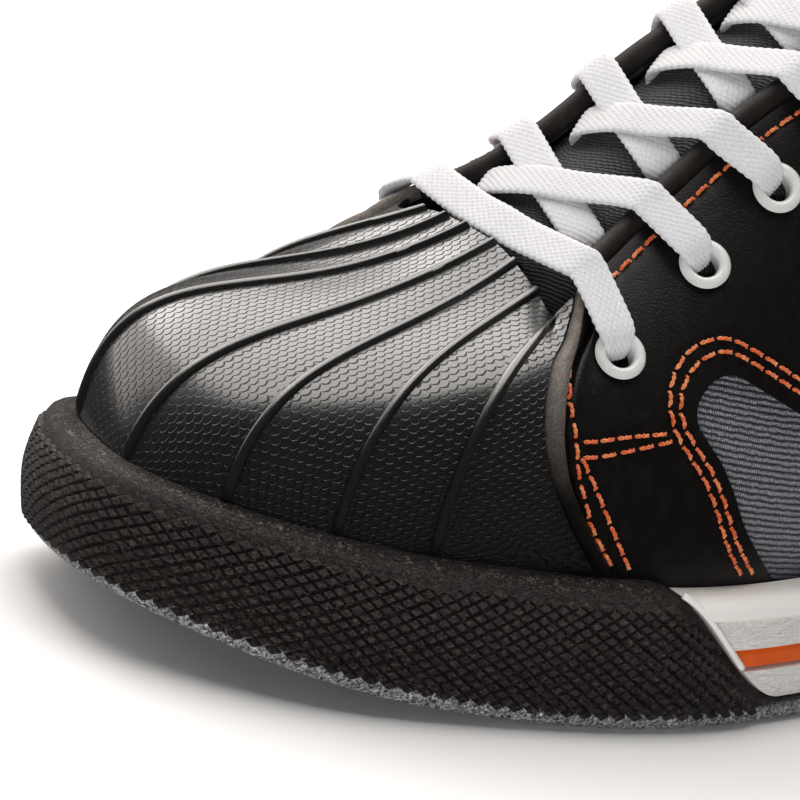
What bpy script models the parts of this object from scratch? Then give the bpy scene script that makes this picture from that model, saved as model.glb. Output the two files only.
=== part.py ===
"""Left safety sneaker: rubber outsole with a knurled toe guard, cupped midsole with a bright stripe, a
lasted upper, a ribbed toe cap, leather quarters over twill, a tongue, ring eyelets and flat laces.

X runs across the shoe and +X is its outer, lateral side. Y runs along it with the toe at -Y, and Z is
up. The origin is on the floor under the middle of the shoe. Lengths are in metres.

A share is a distance round the edge of the sole, from 0 at the back of the heel, along the lateral side
to the toe tip near 0.5, and back along the medial side to 1. A level is a height on the upper: -1 at its
feather edge, 0 where it leaves the cup of the sole and 1 at the edge of its opening.
"""
import math

import bmesh
import bpy
import numpy as np
from mathutils import Matrix, Vector

# Driving dimensions of the shoe
LENGTH = 0.302
BALL_WIDTH = 0.112
INSTEP_HEIGHT = 0.133
GAP = 0.0003

# Sole
TREAD = 0.0051
TOE_SPRING = 0.0103
ARCH_RISE = 0.003
CUP_WALL = 0.008
CUP_HEIGHT = 0.0275
GUARD_HEIGHT = 0.029
GUARD_TOE_RISE = 0.0056
TOE_TUCK = 0.003
FOREFOOT_FOAM = 0.0065
HEEL_FOAM = 0.0145
STRIPE_LOW = 0.0121
STRIPE_HIGH = 0.0160
STRIPE_DEPTH = 0.0008
STRIPE_THICKNESS = 0.001
GROOVE_WIDTH = 0.004
GROOVE_DEPTH = 0.0025
GROOVE_MARGIN = 0.009

# Upper and what lies on it
WALL = 0.002
SKIN = 0.0016
INSOLE_THICKNESS = 0.004
TONGUE_THICKNESS = 0.0035
TONGUE_GAP = 0.0012
TONGUE_TOP = 0.018
TUCK_LEVEL = -0.3
RIB_HALF_WIDTH = 0.0009
RIB_HEIGHT = 0.0011
WINDOW_DEPTH = 0.15
BINDING_RADIUS = 0.0024
BINDING_OUT = 0.0012
EYELET_HOLE = 0.0036
EYELET_LIFT = 0.0024
EYELET_DEPTH = 0.0038
LACE_WIDTH = 0.008
LACE_THICKNESS = 0.0015
LACE_CLEARANCE = 0.0008

# How far the upper's outer face stands inside the edge of the sole at the cup
FEATHER_INSET = CUP_WALL + GAP + SKIN + GAP

# Where things stand along the shoe, as shares of its length from the heel
SPRING_START = 0.68
ARCH_SPAN = (0.24, 0.48)
GUARD_SLOPE = (0.545, 0.68)
GUARD_LEDGE_START = 0.62
TUCK_START = 0.85
GROOVES = (0.06, 0.12, 0.18, 0.52, 0.575, 0.63, 0.685, 0.74, 0.795, 0.85, 0.905)

# Edge of the sole, once round from the heel by the lateral side:
# along (share of LENGTH from the heel), across (share of BALL_WIDTH, + lateral)
SOLE_EDGE = (
    (0.000, 0.000),
    (0.080, 0.304),
    (0.220, 0.366),
    (0.360, 0.388),
    (0.500, 0.460),
    (0.640, 0.500),
    (0.775, 0.438),
    (0.885, 0.337),
    (0.967, 0.162),
    (1.004, -0.075),
    (0.960, -0.374),
    (0.870, -0.452),
    (0.760, -0.500),
    (0.640, -0.442),
    (0.500, -0.348),
    (0.360, -0.339),
    (0.220, -0.357),
    (0.080, -0.304),
)

# Sections of the upper, once round from the heel by the lateral side. Each is a curve from the cup of the
# sole to the opening: foot (share round the sole); edge (where it ends) and crown (the pull that it ends
# with), each along as a share of LENGTH from the heel, across of BALL_WIDTH and up of INSTEP_HEIGHT;
# rise (how far it stands straight, of INSTEP_HEIGHT); lean (how far it leans in, of BALL_WIDTH)
SECTIONS = (
    # foot, edge along, across, up, crown along, across, up, rise, lean
    (0.0000, 0.035, 0.000, 0.759, 0.013, 0.000, 0.556, 0.180, -0.054),
    (0.0344, 0.070, 0.174, 0.722, 0.043, 0.214, 0.541, 0.180, -0.045),
    (0.0714, 0.162, 0.263, 0.684, 0.129, 0.330, 0.526, 0.180, -0.040),
    (0.1107, 0.275, 0.281, 0.729, 0.228, 0.357, 0.571, 0.180, -0.045),
    (0.1450, 0.381, 0.250, 0.865, 0.334, 0.339, 0.692, 0.188, -0.054),
    (0.1730, 0.465, 0.174, 1.000, 0.427, 0.304, 0.842, 0.195, -0.058),
    (0.2055, 0.507, 0.138, 0.951, 0.474, 0.312, 0.835, 0.203, -0.056),
    (0.2449, 0.573, 0.125, 0.835, 0.546, 0.317, 0.759, 0.203, -0.049),
    (0.2884, 0.636, 0.127, 0.699, 0.626, 0.330, 0.632, 0.173, -0.036),
    (0.3271, 0.692, 0.152, 0.594, 0.692, 0.312, 0.526, 0.143, -0.022),
    (0.3556, 0.715, 0.165, 0.543, 0.740, 0.304, 0.496, 0.143, -0.018),
    (0.3915, 0.720, 0.159, 0.526, 0.778, 0.259, 0.504, 0.218, -0.009),
    (0.4222, 0.720, 0.094, 0.555, 0.798, 0.170, 0.481, 0.226, 0.006),
    (0.4563, 0.720, 0.031, 0.580, 0.828, 0.076, 0.436, 0.218, 0.018),
    (0.4970, 0.720, -0.027, 0.592, 0.844, -0.040, 0.421, 0.221, 0.043),
    (0.5396, 0.721, -0.098, 0.596, 0.834, -0.205, 0.391, 0.289, -0.004),
    (0.5750, 0.721, -0.152, 0.594, 0.811, -0.277, 0.421, 0.271, -0.009),
    (0.6070, 0.721, -0.214, 0.583, 0.785, -0.339, 0.481, 0.226, -0.018),
    (0.6439, 0.719, -0.286, 0.564, 0.735, -0.384, 0.511, 0.180, -0.022),
    (0.6721, 0.694, -0.290, 0.596, 0.692, -0.402, 0.556, 0.180, -0.027),
    (0.7121, 0.636, -0.237, 0.699, 0.619, -0.357, 0.662, 0.195, -0.040),
    (0.7562, 0.573, -0.210, 0.835, 0.546, -0.339, 0.767, 0.211, -0.054),
    (0.7949, 0.507, -0.188, 0.951, 0.474, -0.321, 0.842, 0.211, -0.062),
    (0.8271, 0.465, -0.201, 1.000, 0.427, -0.312, 0.842, 0.203, -0.062),
    (0.8551, 0.381, -0.259, 0.872, 0.334, -0.339, 0.699, 0.188, -0.054),
    (0.8894, 0.275, -0.290, 0.744, 0.228, -0.357, 0.579, 0.180, -0.045),
    (0.9286, 0.162, -0.263, 0.699, 0.129, -0.330, 0.534, 0.180, -0.040),
    (0.9656, 0.070, -0.170, 0.729, 0.043, -0.214, 0.549, 0.180, -0.045),
)

# Ribs of the toe cap, by their share round the sole, lateral to medial
RIBS = (0.3915, 0.4222, 0.4563, 0.4970, 0.5396, 0.5750, 0.6070)

# Sections of the tongue up the throat: share of its lateral and its medial edge, how far its middle stands
# out of the line between them, and how far its edges dip under the facings, as shares of BALL_WIDTH
TONGUE_SECTIONS = (
    # lateral share, medial share, crown, dip
    (0.3450, 0.6540, 0.036, 0.015),
    (0.3271, 0.6721, 0.040, 0.006),
    (0.3080, 0.6920, 0.036, 0.000),
    (0.2884, 0.7121, 0.033, 0.000),
    (0.2670, 0.7340, 0.031, 0.000),
    (0.2449, 0.7562, 0.029, 0.000),
    (0.2250, 0.7755, 0.028, 0.000),
    (0.2055, 0.7949, 0.027, 0.000),
    (0.1860, 0.8140, 0.026, 0.000),
)
TONGUE_FRONT = ((0.375, 0.000), (0.373, 0.004), (0.370, 0.012))

# Levels at which every skin of the upper has a row of points
LEVELS = (0.0, 0.06, 0.16, 0.29, 0.43, 0.58, 0.74, 0.88, 1.0)

# Front edge of a quarter: level and share round the sole
QUARTER_FRONT = (
    # level, share
    (TUCK_LEVEL, 0.3360),
    (0.000, 0.3380),
    (0.125, 0.3480),
    (0.215, 0.3540),
    (0.315, 0.3610),
    (0.460, 0.3670),
    (0.600, 0.3700),
    (0.740, 0.3710),
    (0.800, 0.3695),
    (0.880, 0.3580),
    (1.000, 0.3360),
)

# Rolled front edge of a quarter: distance behind the edge and height over the upper
QUARTER_ROLL = (
    # behind, height
    (0.0000, 0.0012),
    (0.0009, 0.0030),
    (0.0026, 0.0032),
    (0.0039, 0.0013),
    (0.0052, GAP + SKIN),
)

# Window through which the twill shows, seen from the side: y and z of its corners
WINDOW = (
    # y, z
    (-0.0235, 0.0200),
    (-0.0235, 0.0270),
    (-0.0290, 0.0390),
    (-0.0359, 0.0481),
    (-0.0396, 0.0523),
    (-0.0432, 0.0564),
    (-0.0455, 0.0595),
    (-0.0456, 0.0626),
    (-0.0439, 0.0655),
    (-0.0412, 0.0678),
    (-0.0377, 0.0690),
    (-0.0344, 0.0681),
    (-0.0288, 0.0658),
    (-0.0231, 0.0633),
    (-0.0100, 0.0580),
    (0.0150, 0.0490),
    (0.0400, 0.0425),
    (0.0620, 0.0390),
    (0.0700, 0.0340),
    (0.0720, 0.0200),
)

# Eyelets of a row, from the toe: share round the sole and level
EYELETS = ((0.3300, 0.730), (0.2880, 0.810), (0.2530, 0.845), (0.2225, 0.860), (0.1960, 0.870))

# Section of an eyelet, turned about its axis: radius and height over the quarter
EYELET_PROFILE = (
    # radius, height
    (0.00270, -EYELET_DEPTH),
    (0.00320, 0.0011),
    (0.00470, 0.0011),
    (0.00525, 0.0),
    (0.00320, 0.0),
    (0.00320, -EYELET_DEPTH),
)

# Heights of the laces over the line from edge to edge of the throat: where they come out from under a facing,
# and at 0.35, 0.5 and 0.65 of the way across
BAR_HEIGHTS = (0.0, 0.0062, 0.0066, 0.0062)
LACE_OVER = (0.0022, 0.0052, 0.0062, 0.0062)
LACE_UNDER = (0.0022, 0.0044, 0.0050, 0.0050)

LACE_PARTS = (0.35, 0.5, 0.65)

EYELET_RADIUS = max(radius for radius, _ in EYELET_PROFILE)
EYELET_TOP = max(height for _, height in EYELET_PROFILE)

# How far from one eyelet to the next a lace comes out from under a facing
LACE_START = 0.25

# Resolution
SOLE_STATIONS = 68
TIP_CROWDING = 0.3
UPPER_SPACING = 1 / 54
EDGE_SAMPLES = 3600
EYELET_STEPS = 10
BINDING_SIDES = 6

# Colour, roughness and metallic value of each finish
FINISHES = {
    "rubber": ((0.018, 0.016, 0.015), 0.55, 0.0),
    "foam": ((0.72, 0.70, 0.66), 0.6, 0.0),
    "stripe": ((0.85, 0.22, 0.03), 0.5, 0.0),
    "twill": ((0.10, 0.13, 0.18), 0.9, 0.0),
    "cap": ((0.05, 0.05, 0.052), 0.4, 0.0),
    "leather": ((0.02, 0.02, 0.022), 0.45, 0.0),
    "textile": ((0.045, 0.047, 0.052), 0.9, 0.0),
    "lining": ((0.06, 0.06, 0.065), 0.9, 0.0),
    "ring": ((0.75, 0.73, 0.70), 0.3, 0.0),
    "lace": ((0.8, 0.8, 0.79), 0.85, 0.0),
}


def smooth_step(start, end, value):
    """Rise smoothly from 0 at start to 1 at end."""
    part = np.clip((np.asarray(value, float) - start) / (end - start), 0, 1)
    return part * part * (3 - 2 * part)


def closed_spline(rows, at):
    """Follow a smooth closed curve through rows, which stand at 0, 1, 2 and so on."""
    rows = np.asarray(rows, float)
    at = np.asarray(at, float)
    count = len(rows)
    after = np.roll(rows, -1, axis=0)
    before = np.roll(rows, 1, axis=0)
    one = np.eye(count)
    weights = 4 * one + np.roll(one, 1, axis=0) + np.roll(one, -1, axis=0)
    slopes = np.linalg.solve(weights, 3 * (after - before))
    cell = np.floor(at).astype(int) % count
    part = (at - np.floor(at))[..., None]
    start, end = rows[cell], rows[(cell + 1) % count]
    leaving, arriving = slopes[cell], slopes[(cell + 1) % count]
    square, cube = part**2, part**3
    return ((2 * cube - 3 * square + 1) * start + (cube - 2 * square + part) * leaving
            + (3 * square - 2 * cube) * end + (cube - square) * arriving)


def along_to_y(along):
    """Turn a share of the length, counted from the heel, into a place on Y."""
    return LENGTH / 2 - np.asarray(along, float) * LENGTH


def y_to_along(y):
    """Turn a place on Y into a share of the length, counted from the heel."""
    return (LENGTH / 2 - np.asarray(y, float)) / LENGTH


def trace_edge():
    """Sample the edge of the sole finely: its shares, its points and its inward normals."""
    rows = np.asarray(SOLE_EDGE) * (1, BALL_WIDTH)
    rows = np.column_stack((rows[:, 1], along_to_y(rows[:, 0])))
    points = closed_spline(rows, np.linspace(0, len(rows), EDGE_SAMPLES + 1))
    steps = np.linalg.norm(np.diff(points, axis=0), axis=1)
    shares = np.concatenate(([0], np.cumsum(steps))) / steps.sum()
    tangents = np.roll(points[:-1], -1, axis=0) - np.roll(points[:-1], 1, axis=0)
    tangents = np.vstack((tangents, tangents[:1]))
    tangents /= np.linalg.norm(tangents, axis=1)[:, None]
    return shares, points, np.column_stack((tangents[:, 1], -tangents[:, 0])), steps.sum()


EDGE_SHARES, EDGE_POINTS, EDGE_NORMALS, EDGE_LENGTH = trace_edge()


def sole_edge(share, inset=0.0):
    """Place points on the sole's edge, or inset from it: an array with columns x and y."""
    share = np.asarray(share, float) % 1
    point = [np.interp(share, EDGE_SHARES, EDGE_POINTS[:, axis]) for axis in (0, 1)]
    normal = [np.interp(share, EDGE_SHARES, EDGE_NORMALS[:, axis]) for axis in (0, 1)]
    inset = np.asarray(inset, float)
    return np.stack([point[0] + normal[0] * inset, point[1] + normal[1] * inset], axis=-1)


def spring(y):
    """How far the toe is raised off the floor."""
    return TOE_SPRING * (np.clip(y_to_along(y) - SPRING_START, 0, None) / (1 - SPRING_START)) ** 2


def ground(y):
    """Height of the sole's underside: flat at heel and ball, raised at the arch and the toe."""
    along = y_to_along(y)
    first, last = ARCH_SPAN
    middle = (first + last) / 2
    return spring(y) + ARCH_RISE * smooth_step(first, middle, along) * (1 - smooth_step(middle, last, along))


def tread_top(y):
    """Height of the outsole's upper face."""
    return ground(y) + TREAD


def foam_bottom(y):
    """Height of the midsole's underside."""
    return tread_top(y) + GAP


def cup_floor(y):
    """Height of the floor that the foot bed lies on, higher at the heel."""
    heel = 1 - smooth_step(0.25, 0.7, y_to_along(y))
    return spring(y) + TREAD + GAP + FOREFOOT_FOAM + (HEEL_FOAM - FOREFOOT_FOAM) * heel


def toe_rise(y):
    """How far the rim of the cup climbs towards the toe tip."""
    part = np.clip((y_to_along(y) - GUARD_LEDGE_START) / (1 - GUARD_LEDGE_START), 0, 1)
    return GUARD_TOE_RISE * part**2


def guard_top(y):
    """Height of the outsole's wall: the tread's own at the back, the toe guard's at the front."""
    ledge = GUARD_HEIGHT + toe_rise(y)
    base = tread_top(y)
    return base + (ledge - base) * smooth_step(*GUARD_SLOPE, y_to_along(y))


def ledge_height(y):
    """Height at which the upper leaves the cup of the sole."""
    return GUARD_HEIGHT + toe_rise(y)


def sole_ring(inset, height, shares):
    """Place a ring of points at an inset from the sole's edge."""
    plan = sole_edge(shares, inset)
    height = height(plan[:, 1]) if callable(height) else height
    return np.column_stack((plan, np.broadcast_to(height, len(plan))))


def sole_shares():
    """Give the shares of the sole's stations, which stand closer together at the toe and the heel."""
    even = np.arange(SOLE_STATIONS) / SOLE_STATIONS
    return even - TIP_CROWDING / (4 * math.pi) * np.sin(4 * math.pi * even)


def section_values(share):
    """Read the table of sections at any share round the sole."""
    rows = np.asarray(SECTIONS)
    count = len(rows)
    places = np.linspace(0, count, 40 * count + 1)
    turned = rows.copy()
    turned[:, 0] -= np.arange(count) / count
    foot = closed_spline(turned, places)[:, 0] + places / count
    share = np.asarray(share, float) % 1
    return closed_spline(rows[:, 1:], np.interp(share, foot, places) % count)


def bare_upper(share, level):
    """Place points on the outer face of the upper."""
    share, level = np.broadcast_arrays(np.asarray(share, float), np.asarray(level, float))
    values = section_values(share)
    plan = sole_edge(share, FEATHER_INSET)
    inward = sole_edge(share, FEATHER_INSET + 1) - plan
    foot = np.concatenate((plan, ledge_height(plan[..., 1])[..., None]), axis=-1)
    edge = np.stack((values[..., 1] * BALL_WIDTH, along_to_y(values[..., 0]),
                     values[..., 2] * INSTEP_HEIGHT), axis=-1)
    crown = np.stack((values[..., 4] * BALL_WIDTH, along_to_y(values[..., 3]),
                      values[..., 5] * INSTEP_HEIGHT), axis=-1)
    rise = np.zeros_like(foot)
    rise[..., :2] = inward * values[..., 7][..., None] * BALL_WIDTH
    rise[..., 2] = values[..., 6] * INSTEP_HEIGHT
    part = np.clip(level, 0, None)[..., None]
    rest = 1 - part
    point = (rest**3 * foot + 3 * rest**2 * part * (foot + rise) + 3 * rest * part**2 * crown
             + part**3 * edge)
    depth = foot[..., 2] - cup_floor(foot[..., 1]) - GAP
    point[..., 2] += np.clip(level, None, 0) * depth
    return point


def upper_frame(share, level):
    """Give the upper's point, its outward normal and its two tangents at a share and a level."""
    step = 1e-3
    level = np.asarray(level, float)
    ahead = bare_upper(share + step, level)
    back = bare_upper(share - step, level)
    high = bare_upper(share, np.clip(level, 0, None) + step)
    low = bare_upper(share, np.clip(level, 0, None) - np.where(level > step, step, 0))
    round_sole = ahead - back
    upwards = high - low
    upwards[level < 0] = (0, 0, 1)
    normal = np.cross(upwards, round_sole)
    normal /= np.linalg.norm(normal, axis=-1)[..., None]
    round_sole /= 2 * step
    upwards /= np.linalg.norm(upwards, axis=-1)[..., None]
    return bare_upper(share, level), normal, round_sole, upwards


def upper_point(share, level, offset=0.0):
    """Place points on the upper, or off it along its normal."""
    share, level = np.broadcast_arrays(np.asarray(share, float), np.asarray(level, float))
    point, normal, _, _ = upper_frame(share, level)
    return point + normal * np.asarray(offset, float)[..., None]


def upper_shares():
    """Give the shares of the upper's columns: even ones, with one on each rib."""
    keys = (0.0,) + RIBS + (1.0,)
    shares = []
    for start, end in zip(keys, keys[1:]):
        count = math.ceil((end - start) / UPPER_SPACING)
        shares += [start + (end - start) * index / count for index in range(count)]
    return np.array(shares)


def finish_material(name):
    """Make one finish, or fetch it if it is there."""
    material = bpy.data.materials.get(name)
    if material is None:
        colour, roughness, metallic = FINISHES[name]
        material = bpy.data.materials.new(name)
        material.use_nodes = True
        shader = material.node_tree.nodes["Principled BSDF"]
        shader.inputs["Base Color"].default_value = (*colour, 1)
        shader.inputs["Roughness"].default_value = roughness
        shader.inputs["Metallic"].default_value = metallic
    return material


def add_object(name, mesh, finish, collection):
    """Put a mesh in the scene as a named piece."""
    piece = bpy.data.objects.new(name, mesh)
    collection.objects.link(piece)
    if finish:
        material = finish_material(finish).copy()
        material.name = name
        mesh.materials.append(material)
        mesh.shade_smooth()
        mesh.set_sharp_from_angle(angle=math.radians(40))
    else:
        piece.hide_render = True
        piece.display_type = "WIRE"
    return piece


def mesh_from(name, points, faces):
    """Make a closed mesh whose faces point outwards."""
    mesh = bpy.data.meshes.new(name)
    mesh.from_pydata([tuple(point) for point in points], [], faces)
    shape = bmesh.new()
    shape.from_mesh(mesh)
    bmesh.ops.triangulate(shape, faces=shape.faces)
    bmesh.ops.recalc_face_normals(shape, faces=shape.faces)
    shape.to_mesh(mesh)
    shape.free()
    return mesh


def ladder(first, count):
    """Close a ring with rungs from one side of the shoe to the other."""
    faces = [(first, first + 1, first + count - 1)]
    for rung in range(1, count // 2 - 1):
        faces.append((first + rung, first + rung + 1, first + count - rung - 1, first + count - rung))
    middle = count // 2
    faces.append((first + middle - 1, first + middle, first + middle + 1))
    return faces


def ring_mesh(name, rings, capped=True):
    """Skin a stack of rings, closed by ladders or, uncapped, joined last to first."""
    count = len(rings[0])
    faces = []
    joins = len(rings) - 1 if capped else len(rings)
    for row in range(joins):
        low = row * count
        high = (row + 1) % len(rings) * count
        for index in range(count):
            after = (index + 1) % count
            faces.append((low + index, low + after, high + after, high + index))
    if capped:
        faces += ladder(0, count)
        faces += ladder((len(rings) - 1) * count, count)
    return mesh_from(name, np.concatenate(rings), faces)


def sheet_mesh(name, outer, inner):
    """Make a sheet with a thickness from its outer and inner grids of points."""
    rows, columns = outer.shape[:2]
    size = rows * columns
    faces = []

    def quad(row, column, shift):
        corner = shift + row * columns + column
        return (corner, corner + 1, corner + columns + 1, corner + columns)

    for row in range(rows - 1):
        for column in range(columns - 1):
            faces.append(quad(row, column, 0))
            faces.append(quad(row, column, size)[::-1])
    rim = [row * columns for row in range(rows)]
    rim += [(rows - 1) * columns + column for column in range(1, columns)]
    rim += [row * columns + columns - 1 for row in range(rows - 2, -1, -1)]
    rim += list(range(columns - 2, 0, -1))
    for start, end in zip(rim, rim[1:] + rim[:1]):
        faces.append((start, end, end + size, start + size))
    points = np.concatenate((outer.reshape(-1, 3), inner.reshape(-1, 3)))
    return mesh_from(name, points, faces)


def cut(piece, cutter, operation="DIFFERENCE"):
    """Cut a piece with another object, or join the two."""
    boolean = piece.modifiers.new("cut " + cutter.name, "BOOLEAN")
    boolean.operation = operation
    boolean.object = cutter
    boolean.solver = "EXACT"


def outsole_profile(shares, clearance=0.0):
    """Give the insets and heights of the outsole's rings."""
    station = sole_edge(shares)[:, 1]
    top = guard_top(station)
    bottom = ground(station)
    tall = np.clip((top - bottom - TREAD) / (GUARD_HEIGHT - TREAD), 0, 1)
    tuck = TOE_TUCK * smooth_step(TUCK_START, 1, y_to_along(station))
    shoulder = np.minimum(0.0035, 0.2 * (top - bottom))
    foot = np.minimum(0.004, 0.6 * (top - bottom))
    belly = 0.5 * (bottom + foot + top - shoulder)
    return (
        (0.0020 + tuck, ground),
        (0.0003 + 0.9 * tuck, bottom + foot),
        (0.4 * tuck, belly),
        (0.0005 + 0.0020 * tall, top - shoulder),
        (0.0010 + 0.0030 * tall, top - 0.2 * shoulder),
        (0.0020 + 0.0040 * tall, top),
        (CUP_WALL, top),
        (CUP_WALL + GAP, tread_top),
    )


def make_outsole(parts, cutters):
    """Outsole and toe guard: one rubber moulding, grooved across under heel and ball."""
    shares = sole_shares()
    rings = [sole_ring(inset, height, shares) for inset, height in outsole_profile(shares)]
    outsole = add_object("outsole", ring_mesh("outsole", rings), "rubber", parts)
    half = len(EDGE_SHARES) // 2
    lateral, medial = EDGE_POINTS[:half], EDGE_POINTS[half:]
    grooves = bmesh.new()
    for along in GROOVES:
        y = float(along_to_y(along))
        right = np.interp(-y, -lateral[:, 1], lateral[:, 0]) - GROOVE_MARGIN
        left = np.interp(y, medial[:, 1], medial[:, 0]) + GROOVE_MARGIN
        box = bmesh.ops.create_cube(grooves, size=1)["verts"]
        bmesh.ops.scale(grooves, verts=box, vec=(right - left, GROOVE_WIDTH, 2 * GROOVE_DEPTH))
        bmesh.ops.translate(grooves, verts=box, vec=((right + left) / 2, y, float(ground(y))))
    mesh = bpy.data.meshes.new("grooves")
    grooves.to_mesh(mesh)
    grooves.free()
    cut(outsole, add_object("grooves", mesh, None, cutters))
    return outsole


def foam_ring(inset, part, shares):
    """Place a ring on the midsole's side, at a part of the way up its wall."""
    station = sole_edge(shares)[:, 1]
    base = foam_bottom(station)
    return sole_ring(inset, base + part * (CUP_HEIGHT + toe_rise(station) - base), shares)


def wall_part(height):
    """Turn a height on the side of the midsole into a part of its wall."""
    return (height - TREAD - GAP) / (CUP_HEIGHT - TREAD - GAP)


def make_midsole(parts, cutters):
    """Midsole: a foam cup with a bulging lip and a groove for the stripe, open where the guard is."""
    shares = sole_shares()
    depth = STRIPE_DEPTH + STRIPE_THICKNESS + GAP
    rows = (
        (0.0010, 0.0),
        (0.0010, wall_part(STRIPE_LOW - GAP) - 0.02),
        (0.0010 + depth, wall_part(STRIPE_LOW - GAP)),
        (0.0010 + depth, wall_part(STRIPE_HIGH + GAP)),
        (0.0012, wall_part(STRIPE_HIGH + GAP) + 0.02),
        (0.0018, wall_part(0.0225)),
        (0.0006, wall_part(0.0240)),
        (0.0010, wall_part(0.0262)),
        (0.0032, 1.0),
        (CUP_WALL, 1.0),
        (CUP_WALL, None),
    )
    rings = []
    for inset, part in rows:
        ring = sole_ring(inset, cup_floor, shares) if part is None else foam_ring(inset, part, shares)
        rings.append(ring)
    midsole = add_object("midsole", ring_mesh("midsole", rings), "foam", parts)
    cutter = make_guard_cutter(cutters)
    cut(midsole, cutter)
    return midsole, cutter


def make_guard_cutter(cutters):
    """Space that the toe guard takes, a little larger all round."""
    shares = sole_shares()
    top = guard_top(sole_edge(shares)[:, 1]) + 0.8 * GAP
    rings = [
        sole_ring(-0.006, -0.004, shares),
        sole_ring(-0.006, top, shares),
        sole_ring(CUP_WALL + GAP, top, shares),
        sole_ring(CUP_WALL + GAP, lambda y: tread_top(y) + 0.8 * GAP, shares),
    ]
    return add_object("guard_space", ring_mesh("guard_space", rings), None, cutters)


def make_stripe(parts, cutter):
    """Bright band let into the midsole's side, from guard to guard round the heel."""
    shares = sole_shares()
    face = 0.0010 + STRIPE_DEPTH
    back = face + STRIPE_THICKNESS
    low, high = wall_part(STRIPE_LOW), wall_part(STRIPE_HIGH)
    rings = [foam_ring(inset, part, shares) for inset, part in
             ((face, low), (face, high), (back, high), (back, low))]
    stripe = add_object("stripe", ring_mesh("stripe", rings, capped=False), "stripe", parts)
    cut(stripe, cutter)
    return stripe


def make_insole(parts):
    """Foot bed that lies inside the upper on the floor of the cup."""
    shares = sole_shares()
    inset = FEATHER_INSET + WALL + 2 * GAP
    rings = [
        sole_ring(inset, lambda y: cup_floor(y) + GAP, shares),
        sole_ring(inset, lambda y: cup_floor(y) + GAP + INSOLE_THICKNESS, shares),
    ]
    return add_object("insole", ring_mesh("insole", rings), "lining", parts)


def make_upper(parts):
    """Upper: one open shell with a wall, from the feather edge to the throat and collar."""
    shares = upper_shares()
    levels = np.array((-1.0,) + LEVELS)
    grid = upper_point(shares[None, :], levels[:, None])
    rows, columns = grid.shape[:2]
    faces = []
    for row in range(rows - 1):
        for column in range(columns):
            after = (column + 1) % columns
            faces.append((row * columns + column, (row + 1) * columns + column,
                          (row + 1) * columns + after, row * columns + after))
    mesh = bpy.data.meshes.new("upper")
    mesh.from_pydata([tuple(point) for point in grid.reshape(-1, 3)], [], faces)
    shape = bmesh.new()
    shape.from_mesh(mesh)
    bmesh.ops.triangulate(shape, faces=shape.faces)
    shape.to_mesh(mesh)
    shape.free()
    upper = add_object("upper", mesh, "twill", parts)
    shell = upper.modifiers.new("wall", "SOLIDIFY")
    shell.thickness = WALL
    shell.offset = -1
    return upper


def tongue_row(lateral, medial, crown, dip):
    """Lay one row of the tongue: under the lateral facing, across the throat, under the medial one."""
    below = -(WALL + TONGUE_GAP + dip * BALL_WIDTH)
    levels = np.array(LEVELS[-3:])
    near = upper_point(lateral, levels, below)
    far = upper_point(medial, levels, below)
    chord = far[-1] - near[-1]
    ahead = upper_point(lateral - 0.01, 1.0) - upper_point(lateral + 0.01, 1.0)
    out = np.cross(ahead, chord)
    out /= np.linalg.norm(out)
    middle = []
    for part in (0.2, 0.5, 0.8):
        swell = math.sin(math.pi * part)
        middle.append(near[-1] + chord * part + out * (crown * BALL_WIDTH + WALL) * swell)
    return np.concatenate((near, middle, far[::-1]))


def tongue_grid():
    """Lay the tongue's outer face, from under the toe cap to its free top edge."""
    grid = [upper_point(np.linspace(start, 1 - start, 9), level, -(WALL + TONGUE_GAP + dip * BALL_WIDTH))
            for (start, dip), level in zip(TONGUE_FRONT, LEVELS[-3:])]
    grid += [tongue_row(*section) for section in TONGUE_SECTIONS]
    grid = np.array(grid)
    lift = grid[-1, 4] - grid[-3, 4]
    lift /= np.linalg.norm(lift)
    tops = []
    for part, waist in ((0.35, 0.86), (0.7, 0.74), (1.0, 0.55)):
        row = grid[-1] + lift * TONGUE_TOP * part
        middle = row[4]
        tops.append(middle + (row - middle) * waist)
    return np.concatenate((grid, tops))


def thicken(grid, thickness):
    """Drop a copy of a grid by a thickness, along its normals."""
    along = np.gradient(grid, axis=0)
    across = np.gradient(grid, axis=1)
    normal = np.cross(along, across)
    normal /= np.linalg.norm(normal, axis=-1)[..., None]
    return grid - normal * thickness


def make_tongue(parts):
    """Padded tongue that fills the throat and runs in under the facings and the toe cap."""
    outer = tongue_grid()
    inner = thicken(outer, TONGUE_THICKNESS)
    return add_object("tongue", sheet_mesh("tongue", outer, inner), "textile", parts)


def cap_rows():
    """Give the levels of every row of an overlay, as a column."""
    return np.array((TUCK_LEVEL,) + LEVELS)[:, None]


def front_share(level):
    """Read the share round the sole of the lateral quarter's front edge at any level."""
    table = np.array(QUARTER_FRONT)
    return np.interp(level, table[:, 0], table[:, 1])


def share_step(shares, levels):
    """Give the share round the sole that one metre on the upper spans, at each point."""
    return 1 / np.linalg.norm(upper_frame(shares, levels)[2], axis=-1)


def under_offset(levels):
    """Give how far an overlay's inner face stands off the upper: more by the throat, which turns sharply."""
    return GAP * (1 + smooth_step(0.5, 1, levels))


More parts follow.
